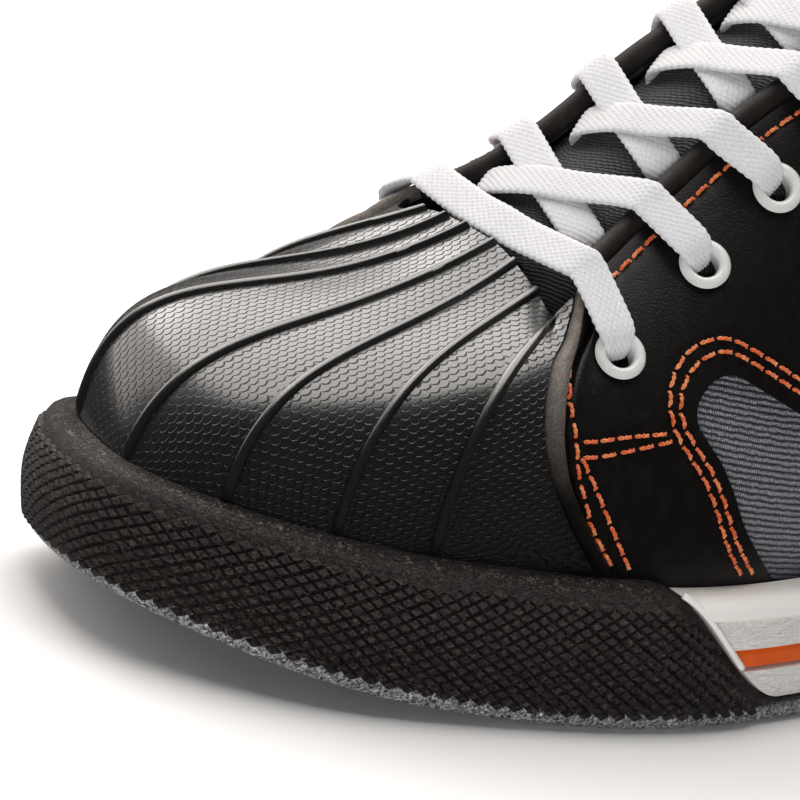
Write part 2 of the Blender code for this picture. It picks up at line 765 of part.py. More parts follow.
def make_toe_cap(parts):
    """Rubber toe cap: a sheet over the upper from quarter to quarter, with ribs from ledge to throat."""
    levels = cap_rows()
    front = front_share(levels)
    inner_columns = [share for share in upper_shares() if RIBS[0] - 0.001 < share < RIBS[-1] + 0.001]
    columns, heights = [], []

    def add(share, height=0.0):
        columns.append(np.broadcast_to(share, front.shape))
        heights.append(height)

    start = front + GAP * share_step(front, levels)
    end = 1 - front - GAP * share_step(1 - front, levels)
    for part in (0, 1 / 3, 2 / 3):
        add(start + (RIBS[0] - 0.004 - start) * part)
    for share in inner_columns:
        width = RIB_HALF_WIDTH * share_step(np.full(front.shape, share), levels)
        if min(abs(share - rib) for rib in RIBS) < 1e-6:
            add(share - width)
            add(share, RIB_HEIGHT)
            add(share + width)
        else:
            add(share)
    for part in (2 / 3, 1 / 3, 0):
        add(end + (RIBS[-1] + 0.004 - end) * part)
    shares = np.concatenate(columns, axis=1)
    levels = np.broadcast_to(levels, shares.shape)
    raised = np.array(heights) * smooth_step(0, LEVELS[1], levels)
    outer = upper_point(shares, levels, GAP + SKIN + raised)
    inner = upper_point(shares, levels, under_offset(levels))
    return add_object("toe_cap", sheet_mesh("toe_cap", outer, inner), "cap", parts)


def make_quarter(name, mirrored, parts):
    """Leather quarter: a sheet from a rolled front edge back to the seam at the heel."""
    levels = cap_rows()
    front = front_share(levels)
    nearest = front.min() - QUARTER_ROLL[-1][0] * 2
    if mirrored:
        front = 1 - front
    turn = -1 if mirrored else 1
    step = share_step(front, levels)
    columns = [front - turn * behind * step for behind, _ in QUARTER_ROLL]
    heights = [height for _, height in QUARTER_ROLL]
    own = upper_shares()
    own = 1 - own[::-1] if mirrored else own
    own = [share for share in own if 0.001 < share < nearest]
    last = columns[-1]
    meeting = 1 - own[-1] if mirrored else own[-1]
    for part in (1 / 3, 2 / 3):
        columns.append(last + (meeting - last) * part)
    columns += [np.full(front.shape, 1 - share if mirrored else share) for share in own[::-1]]
    seam = GAP / 2 * share_step(np.zeros(front.shape), levels)
    columns.append(1 - seam if mirrored else seam)
    heights += [GAP + SKIN] * (len(columns) - len(heights))
    shares = np.concatenate(columns, axis=1)
    levels = np.broadcast_to(levels, shares.shape)
    rolled = (np.array(heights) - GAP - SKIN) * smooth_step(0, LEVELS[1], levels)
    outer = upper_point(shares, levels, GAP + SKIN + rolled)
    inner = upper_point(shares, levels, under_offset(levels))
    return add_object(name, sheet_mesh(name, outer, inner), "leather", parts)


def make_window(cutters):
    """Prism that opens the windows of both quarters."""
    corners = np.array(WINDOW)
    rings = [np.column_stack((np.full(len(corners), side * WINDOW_DEPTH / 2), corners)) for side in (-1, 1)]
    count = len(corners)
    faces = [tuple(range(count)), tuple(range(2 * count - 1, count - 1, -1))]
    faces += [(index, (index + 1) % count, (index + 1) % count + count, index + count) for index in range(count)]
    return add_object("window", mesh_from("window", np.concatenate(rings), faces), None, cutters)


def eyelet_places():
    """List each eyelet's name, centre on the upper and axis."""
    places = []
    for side, mirrored in (("lateral", False), ("medial", True)):
        for number, (share, level) in enumerate(EYELETS, start=1):
            share = 1 - share if mirrored else share
            point, normal, _, _ = upper_frame(np.array([share]), np.array([level]))
            places.append((f"eyelet_{side}_{number}", Vector(point[0]), Vector(normal[0])))
    return places


def make_eyelet_holes(cutters):
    """Rods that cut the eyelet holes through the quarters and the upper."""
    rods = bmesh.new()
    for _, point, normal in eyelet_places():
        turn = normal.to_track_quat("Z", "Y").to_matrix().to_4x4()
        bmesh.ops.create_cone(rods, cap_ends=True, segments=EYELET_STEPS, radius1=EYELET_HOLE,
                              radius2=EYELET_HOLE, depth=4 * EYELET_DEPTH,
                              matrix=Matrix.Translation(point) @ turn)
    mesh = bpy.data.meshes.new("eyelet_holes")
    rods.to_mesh(mesh)
    rods.free()
    return add_object("eyelet_holes", mesh, None, cutters)


def make_eyelets(parts):
    """Ring eyelets: one turned profile, set in each hole on the face of its quarter."""
    eyelets = []
    for name, point, normal in eyelet_places():
        mesh = bpy.data.meshes.new(name)
        count = len(EYELET_PROFILE)
        mesh.from_pydata([(radius, 0, height) for radius, height in EYELET_PROFILE],
                         [(index, (index + 1) % count) for index in range(count)], [])
        eyelet = add_object(name, mesh, "ring", parts)
        eyelet.location = point + normal * EYELET_LIFT
        eyelet.rotation_euler = normal.to_track_quat("Z", "Y").to_euler()
        turned = eyelet.modifiers.new("turned", "SCREW")
        turned.steps = turned.render_steps = EYELET_STEPS
        turned.use_merge_vertices = True
        turned.merge_threshold = 1e-5
        eyelets.append(eyelet)
    return eyelets


def edge_frame(share):
    """Give the point on the opening's edge at a share, and the normal and upward tangent there."""
    point, normal, _, upwards = upper_frame(np.array([share]), np.array([1.0]))
    return Vector(point[0]), Vector(normal[0]), Vector(upwards[0])


def binding_centre(share):
    """Place the middle of the rolled binding."""
    point, normal, upwards = edge_frame(share)
    return point + upwards * (BINDING_RADIUS + GAP) + normal * BINDING_OUT


def make_binding(parts):
    """Rolled binding along the edge of the throat and the collar, from one front corner to the other."""
    corner = QUARTER_FRONT[-1][1]
    own = [share - 1 if share > 0.5 else share for share in upper_shares()]
    own = sorted(share for share in own if abs(share) < corner - 0.004)
    rings = []
    for share in [-corner] + own + [corner]:
        _, normal, upwards = edge_frame(share)
        centre = binding_centre(share)
        ring = []
        for index in range(BINDING_SIDES):
            angle = 2 * math.pi * index / BINDING_SIDES
            ring.append(centre + (normal * math.cos(angle) + upwards * math.sin(angle)) * BINDING_RADIUS)
        rings.append(ring)
    faces = [tuple(range(BINDING_SIDES)),
             tuple(range(len(rings) * BINDING_SIDES - 1, (len(rings) - 1) * BINDING_SIDES - 1, -1))]
    for row in range(len(rings) - 1):
        for index in range(BINDING_SIDES):
            after = (index + 1) % BINDING_SIDES
            faces.append((row * BINDING_SIDES + index, row * BINDING_SIDES + after,
                          (row + 1) * BINDING_SIDES + after, (row + 1) * BINDING_SIDES + index))
    points = [point for ring in rings for point in ring]
    return add_object("binding", mesh_from("binding", points, faces), "leather", parts)


def lace_strip(name, path, collection, finish):
    """Make a flat lace along a path of points, each with the direction that its flat side faces."""
    points = [Vector(point) for point, _ in path]
    corners = []
    for index, (point, facing) in enumerate(zip(points, (Vector(facing) for _, facing in path))):
        ahead = (points[min(index + 1, len(points) - 1)] - points[max(index - 1, 0)]).normalized()
        side = ahead.cross(facing).normalized()
        out = side.cross(ahead)
        for across, high in ((-1, -1), (1, -1), (1, 1), (-1, 1)):
            corners.append(point + side * across * LACE_WIDTH / 2 + out * high * LACE_THICKNESS / 2)
    last = len(corners) - 4
    faces = [(0, 1, 2, 3), (last + 3, last + 2, last + 1, last)]
    for row in range(0, last, 4):
        for index in range(4):
            after = (index + 1) % 4
            faces.append((row + index, row + after, row + 4 + after, row + 4 + index))
    return add_object(name, mesh_from(name, corners, faces), finish, collection)


def lace_path(share_from, share_to, eyelet_to, heights, eyelet_from=None):
    """Lay a lace from under one facing, or from its eyelet, over the throat and the other roll to an eyelet.

    The heights are those of the lace at its start, middle and far quarter, over the line between the edges.
    """
    start_edge, end_edge = edge_frame(share_from)[0], edge_frame(share_to)[0]
    start_roll, end_roll = binding_centre(share_from), binding_centre(share_to)
    chord = end_edge - start_edge
    ahead = edge_frame(share_to + (0.01 if share_to < 0.5 else -0.01))[0] - end_edge
    out = ahead.cross(chord) if share_to < 0.5 else chord.cross(ahead)
    out = -out.normalized() if out.z < 0 else out.normalized()
    across = chord.normalized()
    over = (BINDING_RADIUS + LACE_CLEARANCE) / math.cos(math.pi / 8) + LACE_THICKNESS / 2

    def roll_stops(roll, share, outwards, eyelet):
        """List the stops from the throat over a roll to the ring of an eyelet."""
        _, centre, axis = eyelet
        run = (binding_centre(share + 0.005) - binding_centre(share - 0.005)).normalized()
        high = (out - run * out.dot(run)).normalized()
        outwards = (outwards - run * outwards.dot(run)).normalized()
        stops = []
        for angle in (-math.pi / 4, 0, math.pi / 4):
            facing = high * math.cos(angle) + outwards * math.sin(angle)
            stops.append((roll + facing * over, facing))
        ring = centre + axis * (EYELET_LIFT + EYELET_TOP + LACE_CLEARANCE + LACE_THICKNESS / 2)
        away = stops[-1][0] - ring
        away = (away - axis * away.dot(axis)).normalized()
        return stops + [(ring + away * EYELET_RADIUS, axis), (ring, axis)]

    if eyelet_from:
        path = roll_stops(start_roll, share_from, -across, eyelet_from)[::-1]
    else:
        clear = (start_roll - start_edge).dot(across) + BINDING_RADIUS + 2 * LACE_CLEARANCE + LACE_THICKNESS
        path = [(start_edge + across * clear + out * heights[0], out)]
    for part, height in zip(LACE_PARTS, heights[1:]):
        path.append((start_edge + chord * part + out * height, out))
    return path + roll_stops(end_roll, share_to, across, eyelet_to)


def make_laces(parts, cutters):
    """Laces: a straight bar over the first eyelets, then crossings up to the top ones."""
    places = eyelet_places()
    lateral, medial = places[:len(EYELETS)], places[len(EYELETS):]
    first = EYELETS[0][0]
    laces = [lace_strip("lace_bar_1", lace_path(1 - first, first, lateral[0], BAR_HEIGHTS, medial[0]),
                        parts, "lace")]
    for number in range(1, len(EYELETS)):
        before, share = EYELETS[number - 1][0], EYELETS[number][0]
        leaves = before + (share - before) * LACE_START
        meets = share + (before - share) * LACE_START / 2
        upper_lace = lace_strip(f"lace_cross_{number + 1}",
                                lace_path(1 - leaves, meets, lateral[number], LACE_OVER), parts, "lace")
        under_lace = lace_strip(f"under_lace_{number + 1}",
                                lace_path(leaves, 1 - meets, medial[number], LACE_UNDER), cutters, None)
        cut(upper_lace, under_lace, "UNION")
        laces.append(upper_lace)
    return laces


def main():
    """Build every piece of the shoe."""
    for old in list(bpy.data.objects):
        bpy.data.objects.remove(old, do_unlink=True)
    parts = bpy.data.collections.new("safety_sneaker")
    cutters = bpy.data.collections.new("cutters")
    for collection in (parts, cutters):
        bpy.context.scene.collection.children.link(collection)
    make_outsole(parts, cutters)
    _, guard_space = make_midsole(parts, cutters)
    make_stripe(parts, guard_space)
    make_insole(parts)
    upper = make_upper(parts)
    make_tongue(parts)
    make_toe_cap(parts)
    holes = make_eyelet_holes(cutters)
    window = make_window(cutters)
    cut(upper, holes)
    for name, mirrored in (("quarter_lateral", False), ("quarter_medial", True)):
        quarter = make_quarter(name, mirrored, parts)
        cut(quarter, window)
        cut(quarter, holes)
    make_binding(parts)
    make_eyelets(parts)
    make_laces(parts, cutters)


main()
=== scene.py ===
"""Dresses the left safety sneaker: finishes, knurls, ribs, stitches and laces over its solids.

X runs across the shoe with its lateral side at +X, Y along it with the toe at -Y, and Z is up. Lengths are
in metres. A share is a distance round the edge of the sole, from 0 at the back of the heel by the lateral
side to the toe tip near 0.5 and back by the medial side to 1. A level is a height on the upper: -1 at its
feather edge, 0 where it leaves the cup of the sole and 1 at the edge of its opening.
"""
from __future__ import annotations

import logging
import math
from dataclasses import dataclass
from enum import Enum
from typing import Any, Callable, Mapping, Sequence

import bmesh
import bpy
import numpy as np
from mathutils import Matrix, Vector
from mathutils.kdtree import KDTree

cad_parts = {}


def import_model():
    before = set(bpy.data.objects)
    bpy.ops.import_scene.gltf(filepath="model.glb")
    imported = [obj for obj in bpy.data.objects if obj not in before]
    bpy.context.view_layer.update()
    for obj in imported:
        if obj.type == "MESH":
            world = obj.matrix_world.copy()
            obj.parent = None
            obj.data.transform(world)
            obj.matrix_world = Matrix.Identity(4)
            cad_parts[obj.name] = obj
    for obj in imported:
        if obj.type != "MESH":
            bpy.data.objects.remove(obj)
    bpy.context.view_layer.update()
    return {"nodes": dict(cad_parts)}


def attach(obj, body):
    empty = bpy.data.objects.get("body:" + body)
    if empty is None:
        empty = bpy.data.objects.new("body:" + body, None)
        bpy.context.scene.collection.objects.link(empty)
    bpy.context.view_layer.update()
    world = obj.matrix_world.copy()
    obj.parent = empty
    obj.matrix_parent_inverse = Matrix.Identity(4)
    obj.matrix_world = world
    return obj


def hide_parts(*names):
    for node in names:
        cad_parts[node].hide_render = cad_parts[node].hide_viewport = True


LOG = logging.getLogger("safety_sneaker")
BODY = "root"
SPLINE_STEPS = 24
Array = np.ndarray


class Side(Enum):
    """The two sides of the shoe."""

    LATERAL = "lateral"
    MEDIAL = "medial"

    def share(self, share: Any) -> Any:
        """Turn a share of the lateral side into the same place on this side."""
        return share if self is Side.LATERAL else 1 - share


# Arithmetic on curves


def smooth_step(start: float, end: float, value: Any) -> Array:
    """Rise smoothly from 0 at start to 1 at end."""
    part = np.clip((np.asarray(value, float) - start) / (end - start), 0, 1)
    return part * part * (3 - 2 * part)


def closed_spline(rows: Any, at: Any) -> Array:
    """Follow a smooth closed curve.

    Args:
        rows: Points of the curve, which stand at 0, 1, 2 and so on.
        at: Where to read it.

    Returns:
        A point for each place.
    """
    rows, at = np.asarray(rows, float), np.asarray(at, float)
    count = len(rows)
    one = np.eye(count)
    weights = 4 * one + np.roll(one, 1, axis=0) + np.roll(one, -1, axis=0)
    slopes = np.linalg.solve(weights, 3 * (np.roll(rows, -1, axis=0) - np.roll(rows, 1, axis=0)))
    cell = np.floor(at).astype(int) % count
    part = (at - np.floor(at))[..., None]
    start, end = rows[cell], rows[(cell + 1) % count]
    leaving, arriving = slopes[cell], slopes[(cell + 1) % count]
    square, cube = part**2, part**3
    return ((2 * cube - 3 * square + 1) * start + (cube - 2 * square + part) * leaving
            + (3 * square - 2 * cube) * end + (cube - square) * arriving)


def open_spline(rows: Any, count: int) -> Array:
    """Follow a smooth open curve through rows at evenly spaced distances.

    Args:
        rows: Points that the curve passes, one a row.
        count: How many points to return.

    Returns:
        The points, the first and last of them on the first and last row.
    """
    rows = np.asarray(rows, float)
    padded = np.vstack((2 * rows[0] - rows[1], rows, 2 * rows[-1] - rows[-2]))
    part = np.linspace(0, 1, SPLINE_STEPS + 1)[:-1, None]
    pieces = []
    for before, start, end, after in zip(padded, padded[1:], padded[2:], padded[3:]):
        pieces.append(0.5 * (2 * start + (end - before) * part
                             + (2 * before - 5 * start + 4 * end - after) * part**2
                             + (3 * start - before - 3 * end + after) * part**3))
    fine = np.vstack(pieces + [rows[-1:]])
    run = distances(fine)
    return read_along(fine, run, np.linspace(0, run[-1], count))


def distances(points: Array) -> Array:
    """Give how far along a line each of its points is."""
    return np.concatenate(([0], np.cumsum(np.linalg.norm(np.diff(points, axis=0), axis=1))))


def read_along(values: Array, run: Array, places: Array) -> Array:
    """Read rows of values, which belong to distances along a line, at other distances."""
    return np.stack([np.interp(places, run, column) for column in values.T], axis=-1)


def unit(vectors: Any) -> Array:
    """Scale vectors to length one."""
    vectors = np.asarray(vectors, float)
    return vectors / np.maximum(np.linalg.norm(vectors, axis=-1, keepdims=True), 1e-12)


def spokes(first: Array, second: Array, count: int) -> Array:
    """Give directions all round each of a row of axes, from a first direction by way of a second."""
    angles = np.arange(count) / count * 2 * math.pi
    return first[:, None] * np.cos(angles)[None, :, None] + second[:, None] * np.sin(angles)[None, :, None]


# The last


@dataclass
class Last:
    """The form that the shoe is made on: edge of the sole, heights of the sole and skin of the upper."""

    length: float = 0.302
    ball_width: float = 0.112
    instep_height: float = 0.133
    gap: float = 0.0003
    skin: float = 0.0016
    wall: float = 0.002
    tread: float = 0.0051
    toe_spring: float = 0.0103
    arch_rise: float = 0.003
    cup_wall: float = 0.008
    cup_height: float = 0.0275
    guard_height: float = 0.029
    guard_toe_rise: float = 0.0056
    toe_tuck: float = 0.003
    forefoot_foam: float = 0.0065
    heel_foam: float = 0.0145
    spring_start: float = 0.68
    arch_span: Sequence[float] = (0.24, 0.36, 0.48)
    heel_slope: Sequence[float] = (0.25, 0.7)
    ledge_rise_start: float = 0.62
    guard_slope: Sequence[float] = (0.545, 0.68)
    samples: int = 3600
    section_steps: int = 40
    front_blur: Sequence[float] = (-0.04, -0.02, 0.0, 0.02, 0.04)
    # along (share of length from the heel), across (share of ball_width, + lateral)
    sole_edge_table: Sequence[Sequence[float]] = (
        (0.000, 0.000), (0.080, 0.304), (0.220, 0.366), (0.360, 0.388), (0.500, 0.460), (0.640, 0.500),
        (0.775, 0.438), (0.885, 0.337), (0.967, 0.162), (1.004, -0.075), (0.960, -0.374), (0.870, -0.452),
        (0.760, -0.500), (0.640, -0.442), (0.500, -0.348), (0.360, -0.339), (0.220, -0.357), (0.080, -0.304))
    # foot, edge along, across, up, crown along, across, up, rise, lean
    section_table: Sequence[Sequence[float]] = (
        (0.0000, 0.035, 0.000, 0.759, 0.013, 0.000, 0.556, 0.180, -0.054),
        (0.0344, 0.070, 0.174, 0.722, 0.043, 0.214, 0.541, 0.180, -0.045),
        (0.0714, 0.162, 0.263, 0.684, 0.129, 0.330, 0.526, 0.180, -0.040),
        (0.1107, 0.275, 0.281, 0.729, 0.228, 0.357, 0.571, 0.180, -0.045),
        (0.1450, 0.381, 0.250, 0.865, 0.334, 0.339, 0.692, 0.188, -0.054),
        (0.1730, 0.465, 0.174, 1.000, 0.427, 0.304, 0.842, 0.195, -0.058),
        (0.2055, 0.507, 0.138, 0.951, 0.474, 0.312, 0.835, 0.203, -0.056),
        (0.2449, 0.573, 0.125, 0.835, 0.546, 0.317, 0.759, 0.203, -0.049),
        (0.2884, 0.636, 0.127, 0.699, 0.626, 0.330, 0.632, 0.173, -0.036),
        (0.3271, 0.692, 0.152, 0.594, 0.692, 0.312, 0.526, 0.143, -0.022),
        (0.3556, 0.715, 0.165, 0.543, 0.740, 0.304, 0.496, 0.143, -0.018),
        (0.3915, 0.720, 0.159, 0.526, 0.778, 0.259, 0.504, 0.218, -0.009),
        (0.4222, 0.720, 0.094, 0.555, 0.798, 0.170, 0.481, 0.226, 0.006),
        (0.4563, 0.720, 0.031, 0.580, 0.828, 0.076, 0.436, 0.218, 0.018),
        (0.4970, 0.720, -0.027, 0.592, 0.844, -0.040, 0.421, 0.221, 0.043),
        (0.5396, 0.721, -0.098, 0.596, 0.834, -0.205, 0.391, 0.289, -0.004),
        (0.5750, 0.721, -0.152, 0.594, 0.811, -0.277, 0.421, 0.271, -0.009),
        (0.6070, 0.721, -0.214, 0.583, 0.785, -0.339, 0.481, 0.226, -0.018),
        (0.6439, 0.719, -0.286, 0.564, 0.735, -0.384, 0.511, 0.180, -0.022),
        (0.6721, 0.694, -0.290, 0.596, 0.692, -0.402, 0.556, 0.180, -0.027),
        (0.7121, 0.636, -0.237, 0.699, 0.619, -0.357, 0.662, 0.195, -0.040),
        (0.7562, 0.573, -0.210, 0.835, 0.546, -0.339, 0.767, 0.211, -0.054),
        (0.7949, 0.507, -0.188, 0.951, 0.474, -0.321, 0.842, 0.211, -0.062),
        (0.8271, 0.465, -0.201, 1.000, 0.427, -0.312, 0.842, 0.203, -0.062),
        (0.8551, 0.381, -0.259, 0.872, 0.334, -0.339, 0.699, 0.188, -0.054),
        (0.8894, 0.275, -0.290, 0.744, 0.228, -0.357, 0.579, 0.180, -0.045),
        (0.9286, 0.162, -0.263, 0.699, 0.129, -0.330, 0.534, 0.180, -0.040),
        (0.9656, 0.070, -0.170, 0.729, 0.043, -0.214, 0.549, 0.180, -0.045))
    # level, share of the front edge of the lateral quarter
    quarter_front: Sequence[Sequence[float]] = (
        (-0.300, 0.3360), (0.000, 0.3380), (0.125, 0.3480), (0.215, 0.3540), (0.315, 0.3610), (0.460, 0.3670),
        (0.600, 0.3700), (0.740, 0.3710), (0.800, 0.3695), (0.880, 0.3580), (1.000, 0.3360))
    ribs: Sequence[float] = (0.3915, 0.4222, 0.4563, 0.4970, 0.5396, 0.5750, 0.6070)
    eyelets: Sequence[Sequence[float]] = (
        (0.3300, 0.730), (0.2880, 0.810), (0.2530, 0.845), (0.2225, 0.860), (0.1960, 0.870))

    def __post_init__(self) -> None:
        """Sample the edge of the sole and the table of sections finely."""
        rows = np.asarray(self.sole_edge_table) * (1, self.ball_width)
        rows = np.column_stack((rows[:, 1], self.length / 2 - rows[:, 0] * self.length))
        points = closed_spline(rows, np.linspace(0, len(rows), self.samples + 1))
        steps = np.linalg.norm(np.diff(points, axis=0), axis=1)
        tangents = np.roll(points[:-1], -1, axis=0) - np.roll(points[:-1], 1, axis=0)
        tangents = unit(np.vstack((tangents, tangents[:1])))
        self.edge_shares = np.concatenate(([0], np.cumsum(steps))) / steps.sum()
        self.edge_points = points
        self.edge_normals = np.column_stack((tangents[:, 1], -tangents[:, 0]))
        self.edge_length = float(steps.sum())
        self.feather_inset = self.cup_wall + 2 * self.gap + self.skin
        sections = np.asarray(self.section_table)
        count = len(sections)
        self._places = np.linspace(0, count, self.section_steps * count + 1)
        turned = sections.copy()
        turned[:, 0] -= np.arange(count) / count
        self._feet = closed_spline(turned, self._places)[:, 0] + self._places / count
        self._sections = sections

    def along(self, y: Any) -> Array:
        """Turn a place on Y into a share of the length, counted from the heel."""
        return (self.length / 2 - np.asarray(y, float)) / self.length

    def sole_edge(self, share: Any, inset: Any = 0.0) -> Array:
        """Place points on the sole's edge, or inset from it, in plan.

        Args:
            share: Shares round the sole.
            inset: Distances inwards from the edge.

        Returns:
            X and Y of each.
        """
        share = np.asarray(share, float) % 1
        point = [np.interp(share, self.edge_shares, self.edge_points[:, axis]) for axis in (0, 1)]
        normal = [np.interp(share, self.edge_shares, self.edge_normals[:, axis]) for axis in (0, 1)]
        inset = np.asarray(inset, float)
        return np.stack([point[0] + normal[0] * inset, point[1] + normal[1] * inset], axis=-1)

    def spring(self, y: Any) -> Array:
        """How far the toe is raised off the floor."""
        over = np.clip(self.along(y) - self.spring_start, 0, None) / (1 - self.spring_start)
        return self.toe_spring * over**2

    def ground(self, y: Any) -> Array:
        """Height of the sole's underside.

        Args:
            y: Places along the shoe.

        Returns:
            A height for each.
        """
        (start, top, end), along = self.arch_span, self.along(y)
        arch = smooth_step(start, top, along) * (1 - smooth_step(top, end, along))
        return self.spring(y) + self.arch_rise * arch

    def cup_floor(self, y: Any) -> Array:
        """Height of the floor that the foot bed lies on.

        Args:
            y: Places along the shoe.

        Returns:
            A height for each.
        """
        heel = 1 - smooth_step(*self.heel_slope, self.along(y))
        return (self.spring(y) + self.tread + self.gap + self.forefoot_foam
                + (self.heel_foam - self.forefoot_foam) * heel)

    def toe_rise(self, y: Any) -> Array:
        """How far the rim of the cup climbs towards the toe tip."""
        over = (self.along(y) - self.ledge_rise_start) / (1 - self.ledge_rise_start)
        return self.guard_toe_rise * np.clip(over, 0, 1) ** 2

    def ledge_height(self, y: Any) -> Array:
        """Height at which the upper leaves the cup of the sole."""
        return self.guard_height + self.toe_rise(y)

    def guard_top(self, y: Any) -> Array:
        """Height of the outsole's wall: the tread's own at the back, the toe guard's at the front."""
        base = self.ground(y) + self.tread
        return base + (self.ledge_height(y) - base) * smooth_step(*self.guard_slope, self.along(y))

    def listed(self, values: Array, column: int) -> Array:
        """Turn three columns of the table of sections, along, across and up, into points.

        Args:
            values: Rows of the table of sections.
            column: The first of the three columns.

        Returns:
            A point for each row.
        """
        return np.stack((values[..., column + 1] * self.ball_width,
                         self.length / 2 - values[..., column] * self.length,
                         values[..., column + 2] * self.instep_height), axis=-1)

    def bare_upper(self, share: Any, level: Any) -> Array:
        """Place points on the outer face of the twill shell.

        Args:
            share: Shares round the sole.
            level: Levels on the upper.

        Returns:
            The points.
        """
        share, level = np.broadcast_arrays(np.asarray(share, float), np.asarray(level, float))
        at = np.interp(share % 1, self._feet, self._places) % len(self._sections)
        values = closed_spline(self._sections[:, 1:], at)
        plan = self.sole_edge(share, self.feather_inset)
        inward = self.sole_edge(share, self.feather_inset + 1) - plan
        foot = np.concatenate((plan, self.ledge_height(plan[..., 1])[..., None]), axis=-1)
        rise = np.zeros_like(foot)
        rise[..., :2] = inward * values[..., 7][..., None] * self.ball_width
        rise[..., 2] = values[..., 6] * self.instep_height
        part = np.clip(level, 0, None)[..., None]
        rest = 1 - part
        point = (rest**3 * foot + 3 * rest**2 * part * (foot + rise)
                 + 3 * rest * part**2 * self.listed(values, 3) + part**3 * self.listed(values, 0))
        depth = foot[..., 2] - self.cup_floor(foot[..., 1]) - self.gap
        point[..., 2] += np.clip(level, None, 0) * depth
        return point

    def frame(self, share: Any, level: Any) -> tuple[Array, Array, Array, Array]:
        """Give the shell's own directions.

        Args:
            share: Shares round the sole.
            level: Levels on the upper.

        Returns:
            The points, the outward normals, the step for one share and the upward tangents.
        """
        share, level = np.broadcast_arrays(np.asarray(share, float), np.asarray(level, float))
        step = 1e-3
        round_sole = self.bare_upper(share + step, level) - self.bare_upper(share - step, level)
        high = self.bare_upper(share, np.clip(level, 0, None) + step)
        low = self.bare_upper(share, np.clip(level, 0, None) - np.where(level > step, step, 0))
        upwards = high - low
        upwards[level < 0] = (0, 0, 1)
        return (self.bare_upper(share, level), unit(np.cross(upwards, round_sole)), round_sole / (2 * step),
                unit(upwards))

    def point(self, share: Any, level: Any, offset: Any = 0.0) -> Array:
        """Place points on the shell, or off it along its normal."""
        point, normal, _, _ = self.frame(share, level)
        return point + normal * np.asarray(offset, float)[..., None]

    def front_share(self, level: Array) -> Array:
        """Read the share of the lateral quarter's front edge at any level, smoothed."""
        own, shares = np.array(self.quarter_front).T
        return sum(np.interp(level + shift, own, shares) for shift in self.front_blur) / len(self.front_blur)

    def shares_per_metre(self, share: Array, level: Array) -> Array:
        """Give how many shares a metre along the shell is, at places on it."""
        return 1 / np.linalg.norm(self.frame(share, level)[2], axis=-1)

    def ring_uvs(self, shares: Array, heights: Array) -> Array:
        """Give the UV of rings round the shoe: the run along the edge of the sole, and a height."""
        return np.stack(np.broadcast_arrays(shares * self.edge_length, heights), axis=-1)


# Meshes


def linked(name: str, data: Any) -> bpy.types.Object:
    """Put an object that holds a mesh, camera or lamp in the scene.

    Args:
        name: Name of the object.
        data: Its mesh, camera or lamp.

    Returns:
        The object.
    """
    thing = bpy.data.objects.new(name, data)
    bpy.context.scene.collection.objects.link(thing)
    return thing


def add_piece(name: str, mesh: bpy.types.Mesh, material: bpy.types.Material | None,
              stands_for: Sequence[str] = (), smooth_angle: float = 180.0) -> bpy.types.Object:
    """Put a finished mesh in the scene as a piece of the shoe.

    Args:
        name: Name of the piece.
        mesh: Its mesh, in place.
        material: Its material, unless the mesh has its own.
        stands_for: CAD nodes that it replaces.
        smooth_angle: Angle in degrees above which an edge is sharp.

    Returns:
        The new object.
    """
    piece = linked(name, mesh)
    if material is not None:
        mesh.materials.clear()
        mesh.materials.append(material)
    mesh.shade_smooth()
    if smooth_angle < 180:
        mesh.set_sharp_from_angle(angle=math.radians(smooth_angle))
    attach(piece, BODY)
    if stands_for:
        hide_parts(*stands_for)
    LOG.info("%s: %d faces", name, len(mesh.polygons))
    return piece


def mesh_of(name: str, points: Any, faces: Any, uvs: Any = None, lap: float = 0.0) -> bpy.types.Mesh:
    """Make a closed mesh with one UV for each point, its faces turned outwards.

    Args:
        name: Name of the mesh.
        points: Its points.
        faces: Its faces, as indices of points.
        uvs: One UV, in metres, for each point.
        lap: Length after which the first half of the UV comes round to its start, if it does.

    Returns:
        The mesh.
    """
    mesh = bpy.data.meshes.new(name)
    mesh.from_pydata(np.asarray(points, float).tolist(), [], [tuple(map(int, face)) for face in faces])
    if uvs is not None:
        layer = mesh.uv_layers.new(name="UVMap")
        corners = np.empty(len(mesh.loops), dtype=np.int32)
        mesh.loops.foreach_get("vertex_index", corners)
        flat = np.asarray(uvs, float)[corners]
        if lap:
            starts = np.empty(len(mesh.polygons), dtype=np.int32)
            mesh.polygons.foreach_get("loop_start", starts)
            owner = np.cumsum(np.isin(np.arange(len(corners)), starts)) - 1
            furthest = np.maximum.reduceat(flat[:, 0], starts)[owner]
            flat[:, 0] += np.where(furthest - flat[:, 0] > lap / 2, lap, 0)
        layer.data.foreach_set("uv", flat.astype(np.float32).ravel())
    shape = bmesh.new()
    shape.from_mesh(mesh)
    bmesh.ops.recalc_face_normals(shape, faces=shape.faces)
    shape.to_mesh(mesh)
    shape.free()
    mesh.update()
    return mesh


def grid_faces(rows: int, columns: int, first: int = 0, wrap_rows: bool = False,
               wrap_columns: bool = False) -> Array:
    """List the quads of a grid of points.

    Args:
        rows: Rows of the grid.
        columns: Points in a row.
        first: Index of its first point.
        wrap_rows: Whether the last row joins the first.
        wrap_columns: Whether each row is a ring.

    Returns:
        Four indices for each quad.
    """
    row, column = np.meshgrid(np.arange(rows if wrap_rows else rows - 1),
                              np.arange(columns if wrap_columns else columns - 1), indexing="ij")
    below, beside = (row + 1) % rows, (column + 1) % columns
    quads = np.stack((row * columns + column, row * columns + beside, below * columns + beside,
                      below * columns + column), axis=-1)
    return quads.reshape(-1, 4) + first


